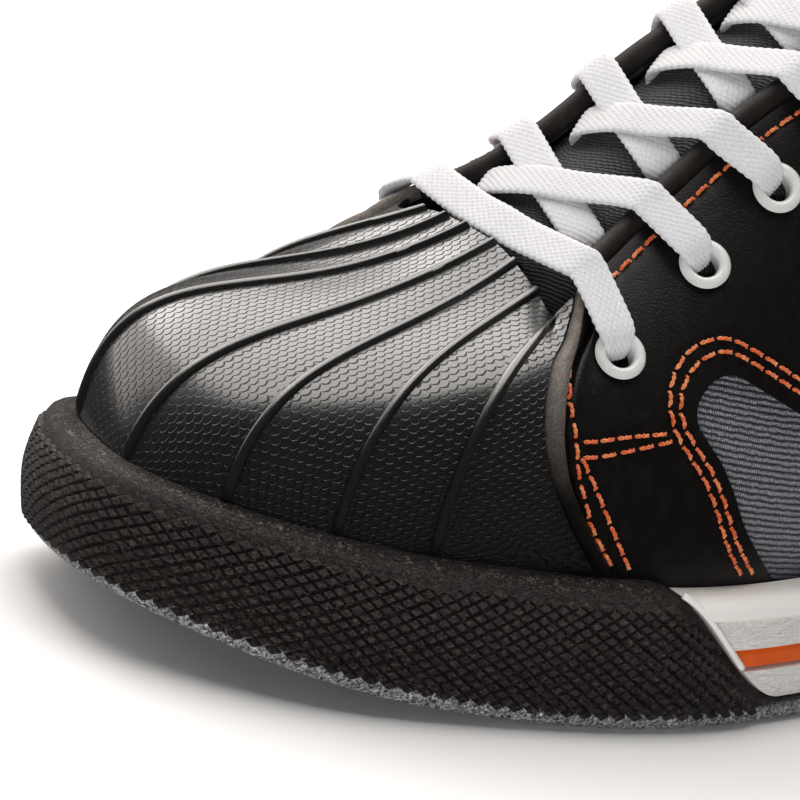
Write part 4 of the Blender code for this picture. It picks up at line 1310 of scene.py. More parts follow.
@dataclass
class Outsole:
    """Rubber outsole whose wall rises into a knurled toe guard."""

    last: Last
    stations: int = 420
    wall_rows: int = 26
    shoulder: float = 0.0035
    foot: float = 0.004
    tuck_start: float = 0.85
    knurl_length: float = 0.0039
    knurl_width: float = 0.00235
    knurl_height: float = 0.00085
    knurl_top: float = 0.64
    field_foot: float = 0.0036
    field_head: float = 0.0038
    band: float = 0.0026
    knurl_rows: int = 40
    wall_samples: int = 120
    # how flat the guard's top is where the field keeps its full head, and where it has none
    head_span: Sequence[float] = (0.0045, 0.0022, 0.012)
    grooves: Sequence[float] = (0.06, 0.12, 0.18, 0.52, 0.575, 0.63, 0.685, 0.74, 0.795, 0.85, 0.905)
    groove_width: float = 0.004
    groove_depth: float = 0.0025
    groove_margin: float = 0.009
    groove_spacing: float = 0.1
    sipe: float = 0.0014

    def wall(self, shares: Array, rows: int) -> Array:
        """Place rows of points up the outer face, from the floor to the inner edge of the ledge.

        Args:
            shares: Shares round the sole, one a column.
            rows: How many points stand above each other.

        Returns:
            A grid of points, rows by shares.
        """
        last = self.last
        y = last.sole_edge(shares)[:, 1]
        top, bottom = last.guard_top(y), last.ground(y)
        tall = np.clip((top - bottom - last.tread) / (last.guard_height - last.tread), 0, 1)
        tuck = last.toe_tuck * smooth_step(self.tuck_start, 1, last.along(y))
        shoulder = np.minimum(self.shoulder, 0.2 * (top - bottom))
        foot = np.minimum(self.foot, 0.6 * (top - bottom))
        # inset from the edge of the sole, height
        stops = (
            (0.0034 + tuck, bottom),
            (0.0016 + 0.97 * tuck, bottom + 0.15 * foot),
            (0.0003 + 0.9 * tuck, bottom + foot),
            (0.4 * tuck, 0.5 * (bottom + foot + top - shoulder)),
            (0.0005 + 0.0020 * tall, top - shoulder),
            (0.0010 + 0.0030 * tall, top - 0.2 * shoulder),
            (0.0022 + 0.0040 * tall, top),
            (np.full(len(y), last.cup_wall), top))
        line = np.array([np.column_stack((last.sole_edge(shares, inset), height)) for inset, height in stops])
        return np.stack([open_spline(line[:, column], rows) for column in range(len(shares))], axis=1)

    def body(self) -> bpy.types.Mesh:
        """Build the moulding: wall, ledge, tread and the grooves across it.

        Returns:
            The mesh.
        """
        last, shares = self.last, sole_stations(self.stations)
        wall = self.wall(shares, self.wall_rows)
        inner = last.sole_edge(shares, last.cup_wall + last.gap)
        floor = np.column_stack((inner, last.ground(inner[:, 1]) + last.tread))
        rings = np.concatenate((wall, floor[None]))
        uvs = last.ring_uvs(shares, rings[..., 2] - last.ground(rings[..., 1]))
        return carve(ring_stack("outsole", rings, uvs, last.edge_length), self.groove_cutter())

    def groove_cutter(self) -> bpy.types.Mesh:
        """Build the bars that cut the tread: wide grooves and a narrow sipe between each two.

        Returns:
            The mesh.
        """
        last, half = self.last, self.last.samples // 2
        lateral, medial = last.edge_points[:half], last.edge_points[half:]
        bars = bmesh.new()
        sipes = [(first + second) / 2 for first, second in zip(self.grooves, self.grooves[1:])
                 if second - first < self.groove_spacing]
        for along, width, depth in ([(each, self.groove_width, self.groove_depth) for each in self.grooves]
                                    + [(each, self.sipe, self.sipe) for each in sipes]):
            y = last.length / 2 - along * last.length
            right = np.interp(-y, -lateral[:, 1], lateral[:, 0]) - self.groove_margin
            left = np.interp(y, medial[:, 1], medial[:, 0]) + self.groove_margin
            box = bmesh.ops.create_cube(bars, size=1)["verts"]
            bmesh.ops.scale(bars, verts=box, vec=(right - left, width, 2 * depth))
            bmesh.ops.translate(bars, verts=box, vec=((right + left) / 2, y, float(last.ground(y))))
        return shaped("groove_cutter", bars)

    def knurl_places(self) -> tuple[Array, Array, Array]:
        """Find where the knurls stand on the guard: points, facings and runs.

        Returns:
            Centres, outward directions and run directions.
        """
        last = self.last
        columns = int(last.edge_length / self.knurl_length) * 2
        shares = np.arange(columns) / columns
        grid = self.wall(shares, self.wall_samples)
        heights = grid[..., 2] - last.ground(grid[..., 1])
        ahead = unit(np.roll(grid, -1, axis=1) - np.roll(grid, 1, axis=1))
        up = unit(np.gradient(grid, axis=0))
        facing = unit(np.cross(up, ahead))
        y = last.sole_edge(shares)[:, 1]
        top = last.guard_top(y) - last.ground(y)
        slope = np.abs(np.gradient(last.guard_top(y), last.edge_length / columns))
        flat, blur, fall = self.head_span
        limit = top - np.maximum(self.field_head * smooth_step(0.0, blur, flat - fall * slope),
                                 self.band * np.sqrt(1 + slope**2))
        points, facings, runs = [], [], []
        for column in range(columns):
            outer = heights[:, column]
            climb = np.argmax(outer > outer.max() - 1e-4)
            for row in range(self.knurl_rows):
                height = self.field_foot + self.knurl_width / 2 * row
                if (row + column) % 2 or height > limit[column]:
                    continue
                at = int(np.clip(np.searchsorted(outer[:climb + 1], height), 1, climb))
                points.append(grid[at, column])
                facings.append(facing[at, column])
                runs.append(ahead[at, column])
        return np.array(points), np.array(facings), np.array(runs)

    def knurls(self, rubber: bpy.types.Material) -> bpy.types.Mesh:
        """Grow the diamonds of the guard.

        Args:
            rubber: Their material.

        Returns:
            The mesh.
        """
        tree = GrowingTree("knurls", {"Length": self.knurl_length, "Width": self.knurl_width,
                                      "Height": self.knurl_height, "Top": self.knurl_top})
        length, width, height = tree.size("Length"), tree.size("Width"), tree.size("Height")
        cone = tree.node("GeometryNodeMeshCone", {
            "Vertices": 4, "Side Segments": 2, "Radius Top": length * tree.size("Top") * 0.5,
            "Radius Bottom": length * 0.54, "Depth": height * 1.5}, fill_type="NGON")
        flat = tree.node("GeometryNodeTransform", {
            "Geometry": cone.outputs["Mesh"], "Scale": tree.vector(1.0, width / length, 1.0),
            "Translation": tree.vector(z=height * -0.5)})
        host = placed("knurl_places", *self.knurl_places())
        return tree.grow("guard_knurls", flat.outputs[0], host, rubber)

    def dress(self) -> None:
        """Build the outsole with its knurls."""
        add_piece("outsole_moulding", self.body(), GuardRubber().make(), ["outsole"], 38)
        add_piece("guard_knurls", self.knurls(GuardRubber("knurl_rubber", edged=False).make()), None, (), 20)


@dataclass
class Midsole:
    """Foam cup with a bulging lip, a wrinkled wall and a bright stripe let into it."""

    last: Last
    space: GuardSpace
    stations: int = 400
    stripe_low: float = 0.0121
    stripe_high: float = 0.0160
    stripe_depth: float = 0.0008
    stripe_thickness: float = 0.001
    stripe_inset: float = 0.0010
    stripe_rows: int = 9
    stripe_bulge: float = 0.0006
    lip_rows: int = 16
    bead_span: Sequence[float] = (0.285, 0.350)
    bead_reach: Sequence[float] = (0.556, 0.664)
    bead_inset: float = 0.0013
    bead_lift: float = 0.0006
    bead_radius: float = 0.0007
    bead_sides: int = 10
    bead_stations: int = 90

    def ring(self, inset: Any, height: float, shares: Array) -> Array:
        """Place a ring on the side of the cup.

        Args:
            inset: How far in from the edge of the sole it lies.
            height: Its height, which is scaled between the cup's underside and its rim.
            shares: Shares round the sole.

        Returns:
            The ring's points.
        """
        last = self.last
        y = last.sole_edge(shares)[:, 1]
        base = last.ground(y) + last.tread + last.gap
        part = (height - last.tread - last.gap) / (last.cup_height - last.tread - last.gap)
        return np.column_stack((last.sole_edge(shares, inset),
                                base + part * (last.cup_height + last.toe_rise(y) - base)))

    def body(self) -> bpy.types.Mesh:
        """Build the cup.

        Returns:
            The mesh.
        """
        last, shares = self.last, sole_stations(self.stations)
        low, high = self.stripe_low - last.gap, self.stripe_high + last.gap
        deep = self.stripe_inset + self.stripe_depth + self.stripe_thickness + last.gap
        bottom = last.tread + last.gap
        # inset from the edge of the sole, height
        lower = [(0.0013, bottom), (0.0010, bottom + 0.0006), (0.0009, 0.0085), (0.0010, low - 0.0008),
                 (0.0014, low - 0.0001), (deep, low), (deep, high), (0.0016, high + 0.0001),
                 (0.0012, high + 0.0008)]
        wall = [(0.0013, 0.0185), (0.0015, 0.0205), (0.0018, 0.0222), (0.0019, 0.0226)]
        lip = open_spline(((0.0019, 0.0227), (0.0009, 0.0231), (0.0004, 0.0242), (0.0006, 0.0256),
                           (0.0016, 0.0268), (0.0034, 0.0275), (0.0056, 0.0276)), self.lip_rows).tolist()
        rows = lower + wall + lip + [(last.cup_wall, last.cup_height)]
        rings = [self.ring(inset, height, shares) for inset, height in rows]
        floor = last.sole_edge(shares, last.cup_wall)
        rings.append(np.column_stack((floor, last.cup_floor(floor[:, 1]))))
        rings = np.array(rings)
        uvs = last.ring_uvs(shares, np.array([height for _, height in rows] + [last.cup_height])[:, None])
        return carve(ring_stack("midsole", rings, uvs, last.edge_length), self.space.cutter())

    def stripe(self) -> bpy.types.Mesh:
        """Build the band in its groove.

        Returns:
            The mesh.
        """
        last, shares = self.last, sole_stations(self.stations)
        face, tall = self.stripe_inset + self.stripe_depth, self.stripe_high - self.stripe_low
        rows = [(face + self.stripe_thickness, self.stripe_low)]
        rows += [(face + self.stripe_bulge * (2 * part - 1) ** 4, self.stripe_low + tall * part)
                 for part in np.linspace(0, 1, self.stripe_rows)]
        rows.append((face + self.stripe_thickness, self.stripe_high))
        rings = np.array([self.ring(inset, height, shares) for inset, height in rows])
        uvs = last.ring_uvs(shares, np.array([height for _, height in rows])[:, None])
        return carve(ring_stack("stripe", rings, uvs, last.edge_length, capped=False), self.space.cutter())

    def edge_bead(self, side: Side) -> bpy.types.Mesh:
        """Build the thin bead of foam that shows along the slanted edge of the guard.

        Args:
            side: The side of the shoe.

        Returns:
            The mesh.
        """
        last, (behind, ahead) = self.last, self.bead_reach
        shares = side.share(np.linspace(*self.bead_span, self.bead_stations))
        y = last.sole_edge(shares)[:, 1]
        inside = (last.along(y) > behind) & (last.along(y) < ahead)
        shares, y = shares[inside], y[inside]
        centre = np.column_stack((last.sole_edge(shares, self.bead_inset),
                                  last.guard_top(y) + self.bead_lift))
        run = unit(np.gradient(centre, axis=0))
        out = np.column_stack((last.sole_edge(shares) - last.sole_edge(shares, 1), np.zeros(len(y))))
        out = unit(out - run * (out * run).sum(axis=1)[:, None])
        rings = centre[:, None] + self.bead_radius * spokes(out, np.cross(run, out), self.bead_sides)
        return tube("midsole_bead_" + side.value, rings, rings[..., :2])

    def dress(self) -> None:
        """Build the cup, its stripe and the beads beside the guard."""
        add_piece("midsole_cup", self.body(), Foam().make(), ["midsole"], 42)
        smooth = Foam("bead_foam", grained=False).make()
        for side in Side:
            add_piece("midsole_bead_" + side.value, self.edge_bead(side), smooth)
        orange = Plain("stripe_orange", (0.78, 0.115, 0.008), (0.60, 0.07, 0.004), 0.32, 260, 0.00003)
        add_piece("midsole_stripe", self.stripe(), orange.make(), ["stripe"], 42)


@dataclass
class FootBed:
    """Textile foot bed with a rounded rim."""

    last: Last
    stations: int = 200
    thickness: float = 0.004
    # inset, part of the thickness
    rim: Sequence[Sequence[float]] = (
        (0.0006, 0), (0, 0.15), (0, 0.75), (0.0005, 0.93),
        (0.0016, 1.0), (0.006, 1.0), (0.012, 0.97), (0.02, 0.9))

    def dress(self) -> None:
        """Build the foot bed."""
        last, shares = self.last, sole_stations(self.stations)
        inset = last.feather_inset + last.wall + 2 * last.gap
        rings = []
        for more, part in self.rim:
            plan = last.sole_edge(shares, inset + more)
            foot = last.cup_floor(plan[:, 1]) + last.gap
            rings.append(np.column_stack((plan, foot + self.thickness * part)))
        rings = np.array(rings)
        mesh = ring_stack("foot_bed", rings, rings[..., :2], 0)
        felt = Plain("bed_textile", (0.022, 0.023, 0.026), (0.06, 0.062, 0.068), 0.9, 1800, 0.0002)
        add_piece("foot_bed", mesh, felt.make(), ["insole"], 40)


# Pieces of the upper


@dataclass
class CollarPad:
    """Padded lining round the inside of the collar, quilted by two seams."""

    last: Last
    reach: float = 0.165
    low: float = 0.66
    thickness: float = 0.0052
    seams: Sequence[float] = (0.79, 0.90)
    seam_width: float = 0.012
    seam_pull: float = 0.45
    end: float = 0.2
    edge: float = 0.0003
    columns: int = 220
    rows: int = 48

    def dress(self) -> None:
        """Build the pad."""
        last = self.last
        shares = np.linspace(-self.reach, self.reach, self.columns)[None, :]
        levels = np.linspace(self.low, 1.0, self.rows)[:, None]
        shares, levels = np.broadcast_arrays(shares, levels)
        part = (levels - self.low) / (1 - self.low)
        across = 1 - np.abs(shares) / self.reach
        full = np.sqrt(np.clip(np.sin(np.pi * np.clip(part, 0, 1) ** 0.9), 0, 1))
        full = full * np.sqrt(np.clip(across / self.end, 0, 1))
        for seam in self.seams:
            full = full * (1 - self.seam_pull * np.exp(-(((levels - seam) / self.seam_width) ** 2)))
        back = np.full(levels.shape, -last.wall - last.gap)
        outer = last.point(shares, levels, back)
        inner = last.point(shares, levels, back - self.edge - self.thickness * full)
        mesh = sheet("collar_pad", outer, inner, lengths_uv(outer))
        cloth = Plain("collar_textile", (0.018, 0.019, 0.022), (0.055, 0.057, 0.064), 0.9, 1300, 0.00022)
        piece = add_piece("collar_pad", mesh, cloth.make(), (), 70)


@dataclass
class TwillShell:
    """Twill shell of the upper, lined inside; the padding of its collar is the separate collar pad."""

    last: Last
    holes: Callable[[], bpy.types.Mesh]
    columns: int = 260
    rows: int = 52
    droop: float = 0.19

    def outer_uv(self, shares: Array, levels: Array) -> Array:
        """Unroll the shell: along the rows of the twill, and across them."""
        sunk = self.droop * np.minimum(shares, 1 - shares) * self.last.edge_length
        return self.last.ring_uvs(shares, run_lengths(self.last.bare_upper(shares, levels), 0) - sunk)

    def body(self) -> bpy.types.Mesh:
        """Build the shell with its eyelet holes.

        Returns:
            The mesh.
        """
        last = self.last
        shares = sole_stations(self.columns)[None, :]
        levels = np.concatenate(([-1, -0.5], np.linspace(0, 1, self.rows)))[:, None]
        shares, levels = np.broadcast_arrays(shares, levels)
        outer = last.point(shares, levels)
        inner = last.point(shares[::-1], levels[::-1], np.full(levels.shape, -last.wall))
        rings = np.concatenate((outer, inner))
        uvs = self.outer_uv(shares, levels)
        uvs = np.concatenate((uvs, uvs[::-1]))
        rows, count = rings.shape[:2]
        faces = grid_faces(rows, count, wrap_rows=True, wrap_columns=True)
        mesh = mesh_of("upper_shell", rings.reshape(-1, 3), faces, uvs.reshape(-1, 2), last.edge_length)
        twill, lining = Twill().make(), Plain("lining_textile", (0.02, 0.021, 0.024), (0.05, 0.052, 0.06),
                                              0.92, 1500, 0.0002).make()
        for material in (twill, lining):
            mesh.materials.append(material)
        inside = np.arange(len(mesh.polygons)) // count >= len(outer) - 1
        mesh.polygons.foreach_set("material_index", inside.astype(np.int32))
        return carve(mesh, self.holes())

    def dress(self) -> None:
        """Build the shell."""
        add_piece("upper_shell", self.body(), None, ["upper"], 45)


def resample(grid: Array, rows: int, columns: int) -> Array:
    """Read a grid at another number of rows and columns.

    Args:
        grid: The grid.
        rows: Its new number of rows.
        columns: Its new number of columns.

    Returns:
        The new grid.
    """
    for axis, count in ((0, rows), (1, columns)):
        lines = np.moveaxis(grid, axis, 0)
        flat = lines.reshape(len(lines), -1)
        read = read_along(flat, np.arange(len(lines)), np.linspace(0, len(lines) - 1, count))
        grid = np.moveaxis(read.reshape((count,) + lines.shape[1:]), 0, axis)
    return grid


def flattened(base: Array, rows: int = 24, columns: int = 72, rounds: int = 1500) -> Array:
    """Lay a curved sheet out flat with its lengths kept as well as they can be.

    Args:
        base: A grid of points on the sheet.
        rows: Rows of the coarse net that is laid out.
        columns: Columns of that net.
        rounds: How many times its threads are pulled to their own lengths.

    Returns:
        For each point its place in the layout, along Y and along X as seen from above.
    """
    net = resample(base, rows, columns)
    steps = np.diff(net[::-1], axis=0)
    length = np.linalg.norm(steps, axis=-1, keepdims=True)
    heading = unit(steps[..., :2])
    for row in range(1, rows - 1):
        steep = np.linalg.norm(steps[row, :, :2], axis=-1) < 0.3 * length[row, :, 0]
        heading[row][steep] = heading[row - 1][steep]
    start = net[-1][None, :, :2]
    flat = np.concatenate((start, start + np.cumsum(heading * length, axis=0)))[::-1].copy()
    threads = (((slice(None, -1), slice(None)), (slice(1, None), slice(None))),
               ((slice(None), slice(None, -1)), (slice(None), slice(1, None))),
               ((slice(None, -1), slice(None, -1)), (slice(1, None), slice(1, None))),
               ((slice(None, -1), slice(1, None)), (slice(1, None), slice(None, -1))))
    lengths = [np.linalg.norm(net[second] - net[first], axis=-1) for first, second in threads]
    for _ in range(rounds):
        pull, weight = np.zeros_like(flat), np.zeros(flat.shape[:2] + (1,))
        for (first, second), length in zip(threads, lengths):
            gap = flat[second] - flat[first]
            reach = np.maximum(np.linalg.norm(gap, axis=-1), 1e-9)
            move = gap * (0.5 * (reach - length) / reach)[..., None]
            pull[first] += move
            pull[second] -= move
            weight[first] += 1
            weight[second] += 1
        flat += pull / weight * 1.2
    return resample(flat, *base.shape[:2])[..., ::-1]


@dataclass
class ToeCap:
    """Rubber toe cap: a sheet over the shell with seven beads from the ledge to the throat."""

    last: Last
    rows: int = 84
    spacing: float = 0.0019
    bead: float = 0.0011
    bead_height: float = 0.0012
    bead_parts: Sequence[float] = (
        -1.5, -1.0, -0.96, -0.85, -0.65, -0.35, 0.0, 0.35, 0.65, 0.85, 0.96, 1.0, 1.5)
    bead_clear: float = 1.9
    bead_start: float = 0.03
    side_steps: int = 14
    side_margin: float = 0.006
    tuck: float = -0.3

    def dress(self) -> None:
        """Build the cap."""
        last = self.last
        levels = np.concatenate(([self.tuck, self.tuck / 2], np.linspace(0, 1, self.rows)))[:, None]
        front = last.front_share(levels)
        start = front + last.gap * last.shares_per_metre(front, levels)
        end = 1 - front - last.gap * last.shares_per_metre(1 - front, levels)
        columns, heights = [], []
        first, final = last.ribs[0] - self.side_margin, last.ribs[-1] + self.side_margin
        for part in np.linspace(0, 1, self.side_steps)[:-1]:
            columns.append(start + (first - start) * part)
            heights.append(0.0)
        keys = (first,) + tuple(last.ribs) + (final,)
        for index, (low, high) in enumerate(zip(keys, keys[1:])):
            count = max(2, int((high - low) * last.edge_length / self.spacing))
            reach = self.bead_clear * self.bead / last.edge_length
            inner_low = low + (reach if index else 0)
            inner_high = high - (reach if index < len(keys) - 2 else 0)
            for part in np.linspace(0, 1, count + 1):
                columns.append(np.full(front.shape, inner_low + (inner_high - inner_low) * part))
                heights.append(0.0)
            if index < len(keys) - 2:
                wide = last.shares_per_metre(np.full(front.shape, high), levels) * self.bead
                for part in self.bead_parts:
                    columns.append(high + wide * part)
                    heights.append(math.sqrt(max(0.0, 1 - part**2)) * self.bead_height)
        for part in np.linspace(0, 1, self.side_steps)[1:]:
            columns.append(final + (end - final) * part)
            heights.append(0.0)
        shares = np.sort(np.concatenate(columns, axis=1), axis=1)
        levels = np.broadcast_to(levels, shares.shape)
        raised = np.array(heights) * smooth_step(0.0, self.bead_start, levels)
        face = last.gap + last.skin + raised
        outer = last.point(shares, levels, face)
        inner = last.point(shares, levels, last.gap * (1 + smooth_step(0.5, 1, levels)))
        mesh = sheet("toe_cap_rubber", outer, inner, flattened(last.bare_upper(shares, levels)))
        plain = CapRubber("bead_rubber", engraved=False).make()
        mesh.materials.append(CapRubber().make())
        mesh.materials.append(plain)
        count = shares.shape[1]
        kind = np.array([heights[column] > 0 or heights[column + 1] > 0 for column in range(count - 1)])
        index = np.zeros(len(mesh.polygons), np.int32)
        rows = len(levels) - 1
        index[:rows * (count - 1)] = np.tile(kind, rows)
        mesh.polygons.foreach_set("material_index", index)
        add_piece("toe_cap_rubber", mesh, None, ["toe_cap"], 50)


@dataclass
class EyeletRow:
    """Ring eyelets and the holes that they stand in."""

    last: Last
    hole: float = 0.0036
    lift: float = 0.0024
    depth: float = 0.0038
    steps: int = 36
    # radius, height over the lift
    section: Sequence[Sequence[float]] = (
        (0.00290, -0.0034), (0.00280, -0.0012), (0.00285, 0.0000), (0.00310, 0.0007), (0.00355, 0.00108),
        (0.00415, 0.00112), (0.00470, 0.00088), (0.00510, 0.00040), (0.00524, 0.00004), (0.00505, -0.0001))
    back: Sequence[Sequence[float]] = ((0.0045, -0.0001), (0.0034, -0.0001), (0.0034, -0.0034))

    def places(self) -> dict[str, tuple[Vector, Vector, float]]:
        """List each eyelet's centre on the shell, its axis and its share, by name.

        Returns:
            Centre, axis and share of each eyelet, by name.
        """
        places = {}
        for side in Side:
            for number, (share, level) in enumerate(self.last.eyelets, start=1):
                own = side.share(share)
                point, normal, _, _ = self.last.frame(np.array([own]), np.array([level]))
                places[f"{side.value}_{number}"] = (Vector(point[0]), Vector(normal[0]), own)
        return places

    def rods(self) -> bpy.types.Mesh:
        """Build the rods that cut the holes.

        Returns:
            The mesh.
        """
        rods = bmesh.new()
        for centre, axis, _ in self.places().values():
            turn = axis.to_track_quat("Z", "Y").to_matrix().to_4x4()
            bmesh.ops.create_cone(rods, cap_ends=True, segments=self.steps,
                                  radius1=self.hole, radius2=self.hole,
                                  depth=4 * self.depth, matrix=Matrix.Translation(centre) @ turn)
        return shaped("eyelet_rods", rods)

    def dress(self) -> None:
        """Build the rings."""
        ivory = Plain("ring_plastic", (0.66, 0.66, 0.64), (0.58, 0.58, 0.56), 0.22, 500, 0.00002, 0.3).make()
        profile = np.vstack((open_spline(self.section, 22), self.back))
        angles = np.arange(self.steps) / self.steps * 2 * math.pi
        for name, (centre, axis, _) in self.places().items():
            turn = np.array(axis.to_track_quat("Z", "Y").to_matrix())
            local = np.stack((profile[:, :1] * np.cos(angles), profile[:, :1] * np.sin(angles),
                              np.repeat(profile[:, 1:] + self.lift, self.steps, axis=1)), axis=-1)
            rings = local @ turn.T + np.array(centre)
            mesh = tube("ring_" + name, rings, rings[..., :2], wrap=True)
            add_piece("ring_" + name, mesh, ivory, ["eyelet_" + name], 60)


@dataclass
class Window:
    """Opening of a quarter through which the twill shows, drawn from the side as y and z."""

    depth: float = 0.15
    smoothings: int = 6
    outline: Sequence[Sequence[float]] = (
        (-0.0070, 0.0200), (-0.0180, 0.0280), (-0.0300, 0.0385), (-0.0365, 0.0478), (-0.0396, 0.0523),
        (-0.0432, 0.0564), (-0.0455, 0.0595), (-0.0456, 0.0626), (-0.0439, 0.0655), (-0.0412, 0.0678),
        (-0.0377, 0.0690), (-0.0344, 0.0681), (-0.0288, 0.0658), (-0.0231, 0.0633), (-0.0100, 0.0580),
        (0.0150, 0.0490), (0.0400, 0.0425), (0.0620, 0.0390), (0.0700, 0.0340), (0.0720, 0.0200))

    def line(self, outside: float = 0.0, count: int = 160) -> Array:
        """Follow the window's edge, or a line outside it.

        Args:
            outside: Distance from the edge.
            count: How many points to return.

        Returns:
            Y and Z of the points.
        """
        line = open_spline(self.outline, count)
        run = np.gradient(line, axis=0)
        out = unit(np.column_stack((-run[:, 1], run[:, 0])))
        for _ in range(self.smoothings):
            out[1:-1] = unit(out[:-2] + out[1:-1] + out[2:])
        return line + out * outside

    def cutter(self) -> bpy.types.Mesh:
        """Build the prism that opens both windows.

        Returns:
            The mesh.
        """
        line = self.line()
        count = len(line)
        rings = [np.insert(line, 0, reach, axis=1) for reach in (-self.depth / 2, self.depth / 2)]
        faces = [tuple(range(count)), tuple(range(2 * count - 1, count - 1, -1))]
        faces += grid_faces(2, count, wrap_columns=True).tolist()
        return mesh_of("window", np.concatenate(rings), faces)


@dataclass
class Quarters:
    """Leather quarters: sheets with a rolled front edge, a window, seams and eyelet holes."""

    last: Last
    window: Window
    holes: Callable[[], bpy.types.Mesh]
    rows: int = 76
    spacing: float = 0.0021
    tuck: float = -0.3
    row_gap: float = 0.0022
    seam_pitch: float = 0.0038
    seam_lift: float = 0.00018
    seam_inset: float = 0.0030
    seam_foot: float = 0.0006
    heel_seams: Sequence[float] = (0.030, 0.033)
    front_reach: float = 0.34
    # width, depth
    seam_groove: Sequence[float] = (0.0009, 0.00022)
    panel_groove: Sequence[float] = (0.00045, 0.0004)
    groove_sampling: float = 0.0005
    # behind the edge, height over the shell
    roll: Sequence[Sequence[float]] = (
        (0.0000, 0.0010), (0.0003, 0.0019), (0.0008, 0.0027), (0.0014, 0.0033), (0.0021, 0.0036),
        (0.0029, 0.0035), (0.0036, 0.0030), (0.0041, 0.0022), (0.0044, 0.0013), (0.0047, 0.0008),
        (0.0050, 0.0011), (0.0052, 0.0019), (0.0055, 0.0022), (0.0061, 0.0023), (0.0069, 0.0021),
        (0.0080, 0.0019))
    # share, level along each row of stitches of the lateral quarter
    front_row: Sequence[Sequence[float]] = (
        (0.3555, 0.830), (0.3585, 0.760), (0.3588, 0.680), (0.3578, 0.600), (0.3550, 0.505), (0.3535, 0.440),
        (0.3515, 0.345), (0.3478, 0.260), (0.3447, 0.185), (0.3405, 0.120), (0.3345, 0.040))
    second_row: Sequence[Sequence[float]] = (
        (0.3512, 0.415), (0.3462, 0.335), (0.3420, 0.260), (0.3388, 0.200), (0.3342, 0.120), (0.3282, 0.030))
    bridge_rows: Sequence[Sequence[Sequence[float]]] = (
        ((0.3510, 0.470), (0.3360, 0.475), (0.3180, 0.452)),
        ((0.3510, 0.415), (0.3350, 0.428), (0.3160, 0.428)))
    panel_edge: Sequence[Sequence[float]] = ((0.3540, 0.442), (0.3360, 0.451), (0.3170, 0.440))

    def locate(self, side: Side, line: Array) -> Array:
        """Find points on the shell that are given by their y and z.

        Args:
            side: The side of the shoe.
            line: Y and Z of the points.

        Returns:
            Share and level of each.
        """
        last = self.last
        shares, levels = np.meshgrid(side.share(np.linspace(0.1, 0.36, 200)), np.linspace(0, 1, 120),
                                     indexing="ij")
        flat = last.bare_upper(shares, levels)[..., 1:].reshape(-1, 2)
        found = [int(np.argmin(((flat - target) ** 2).sum(axis=1))) for target in line]
        at = np.column_stack((shares.ravel()[found], levels.ravel()[found]))
        for _ in range(3):
            here = last.bare_upper(at[:, 0], at[:, 1])[:, 1:]
            by_share = (last.bare_upper(at[:, 0] + 1e-4, at[:, 1])[:, 1:] - here) / 1e-4
            by_level = (last.bare_upper(at[:, 0], at[:, 1] + 1e-4)[:, 1:] - here) / 1e-4
            step = np.linalg.solve(np.stack((by_share, by_level), axis=-1), (line - here)[..., None])[..., 0]
            at = at + np.clip(step, -0.01, 0.01)
        return at

    def own_row(self, side: Side, line: Any) -> Array:
        """Turn a row of the lateral quarter into a fine one of either side."""
        fine = open_spline(line, 60)
        return np.column_stack((side.share(fine[:, 0]), fine[:, 1]))

    def rows_of_stitches(self, side: Side) -> list[Array]:
        """List the rows of stitches of a quarter.

        Args:
            side: The side of the shoe.

        Returns:
            Shares and levels on the shell, for each row.
        """
        rows = [self.own_row(side, line) for line in (self.front_row, self.second_row, *self.bridge_rows)]
        for outside in (self.seam_inset, self.seam_inset + self.row_gap):
            line = self.window.line(outside)
            height = self.last.ledge_height(line[:, 0]) + self.seam_foot
            rows.append(self.locate(side, line[line[:, 1] > height]))
        shares = side.share(np.linspace(0.338, 0.002, 300))
        rows.append(np.column_stack((shares, self.below_edge(shares, self.seam_inset))))
        levels = np.linspace(0.02, 0.9, 60)
        for back in self.heel_seams:
            rows.append(np.column_stack((side.share(np.full(60, back)), levels)))
        return rows

    def below_edge(self, shares: Array, distance: float) -> Array:
        """Give the level at a distance under the edge of the opening.

        Args:
            shares: Shares round the sole.
            distance: Distance below the opening's edge.

        Returns:
            A level for each share.
        """
        last, step = self.last, 0.02
        top, low = last.bare_upper(shares, 1.0), last.bare_upper(shares, 1.0 - step)
        return 1 - step * distance / np.linalg.norm(top - low, axis=-1)

    def sunken(self, side: Side, base: Array) -> Array:
        """Find how deep the seams and the panel's edge draw the leather in.

        Args:
            side: The side of the shoe.
            base: A grid of points on the shell.

        Returns:
            A depth for each point.
        """
        lines = []
        for row in self.rows_of_stitches(side):
            points = self.last.bare_upper(row[:, 0], row[:, 1])
            length = np.linalg.norm(np.diff(points, axis=0), axis=1).sum()
            lines.append(open_spline(points, max(8, int(length / self.groove_sampling))))
        edge = open_spline(self.panel_edge, 120)
        panel = self.last.bare_upper(side.share(edge[:, 0]), edge[:, 1])
        return (self.trough(np.concatenate(lines), base, *self.seam_groove)
                + self.trough(panel, base, *self.panel_groove))

    @staticmethod
    def trough(line: Array, base: Array, width: float, depth: float) -> Array:
        """Give a soft trough along a line.

        Args:
            line: Points of the line.
            base: A grid of points.
            width: Distance from the line at which the trough is nearly gone.
            depth: Its depth on the line.

        Returns:
            The trough's depth at each point of the grid.
        """
        tree = KDTree(len(line))
        for index, point in enumerate(line):
            tree.insert(point, index)
        tree.balance()
        distance = np.array([tree.find(point)[2] for point in base.reshape(-1, 3)]).reshape(base.shape[:-1])
        return depth * np.exp(-((distance / width) ** 2))

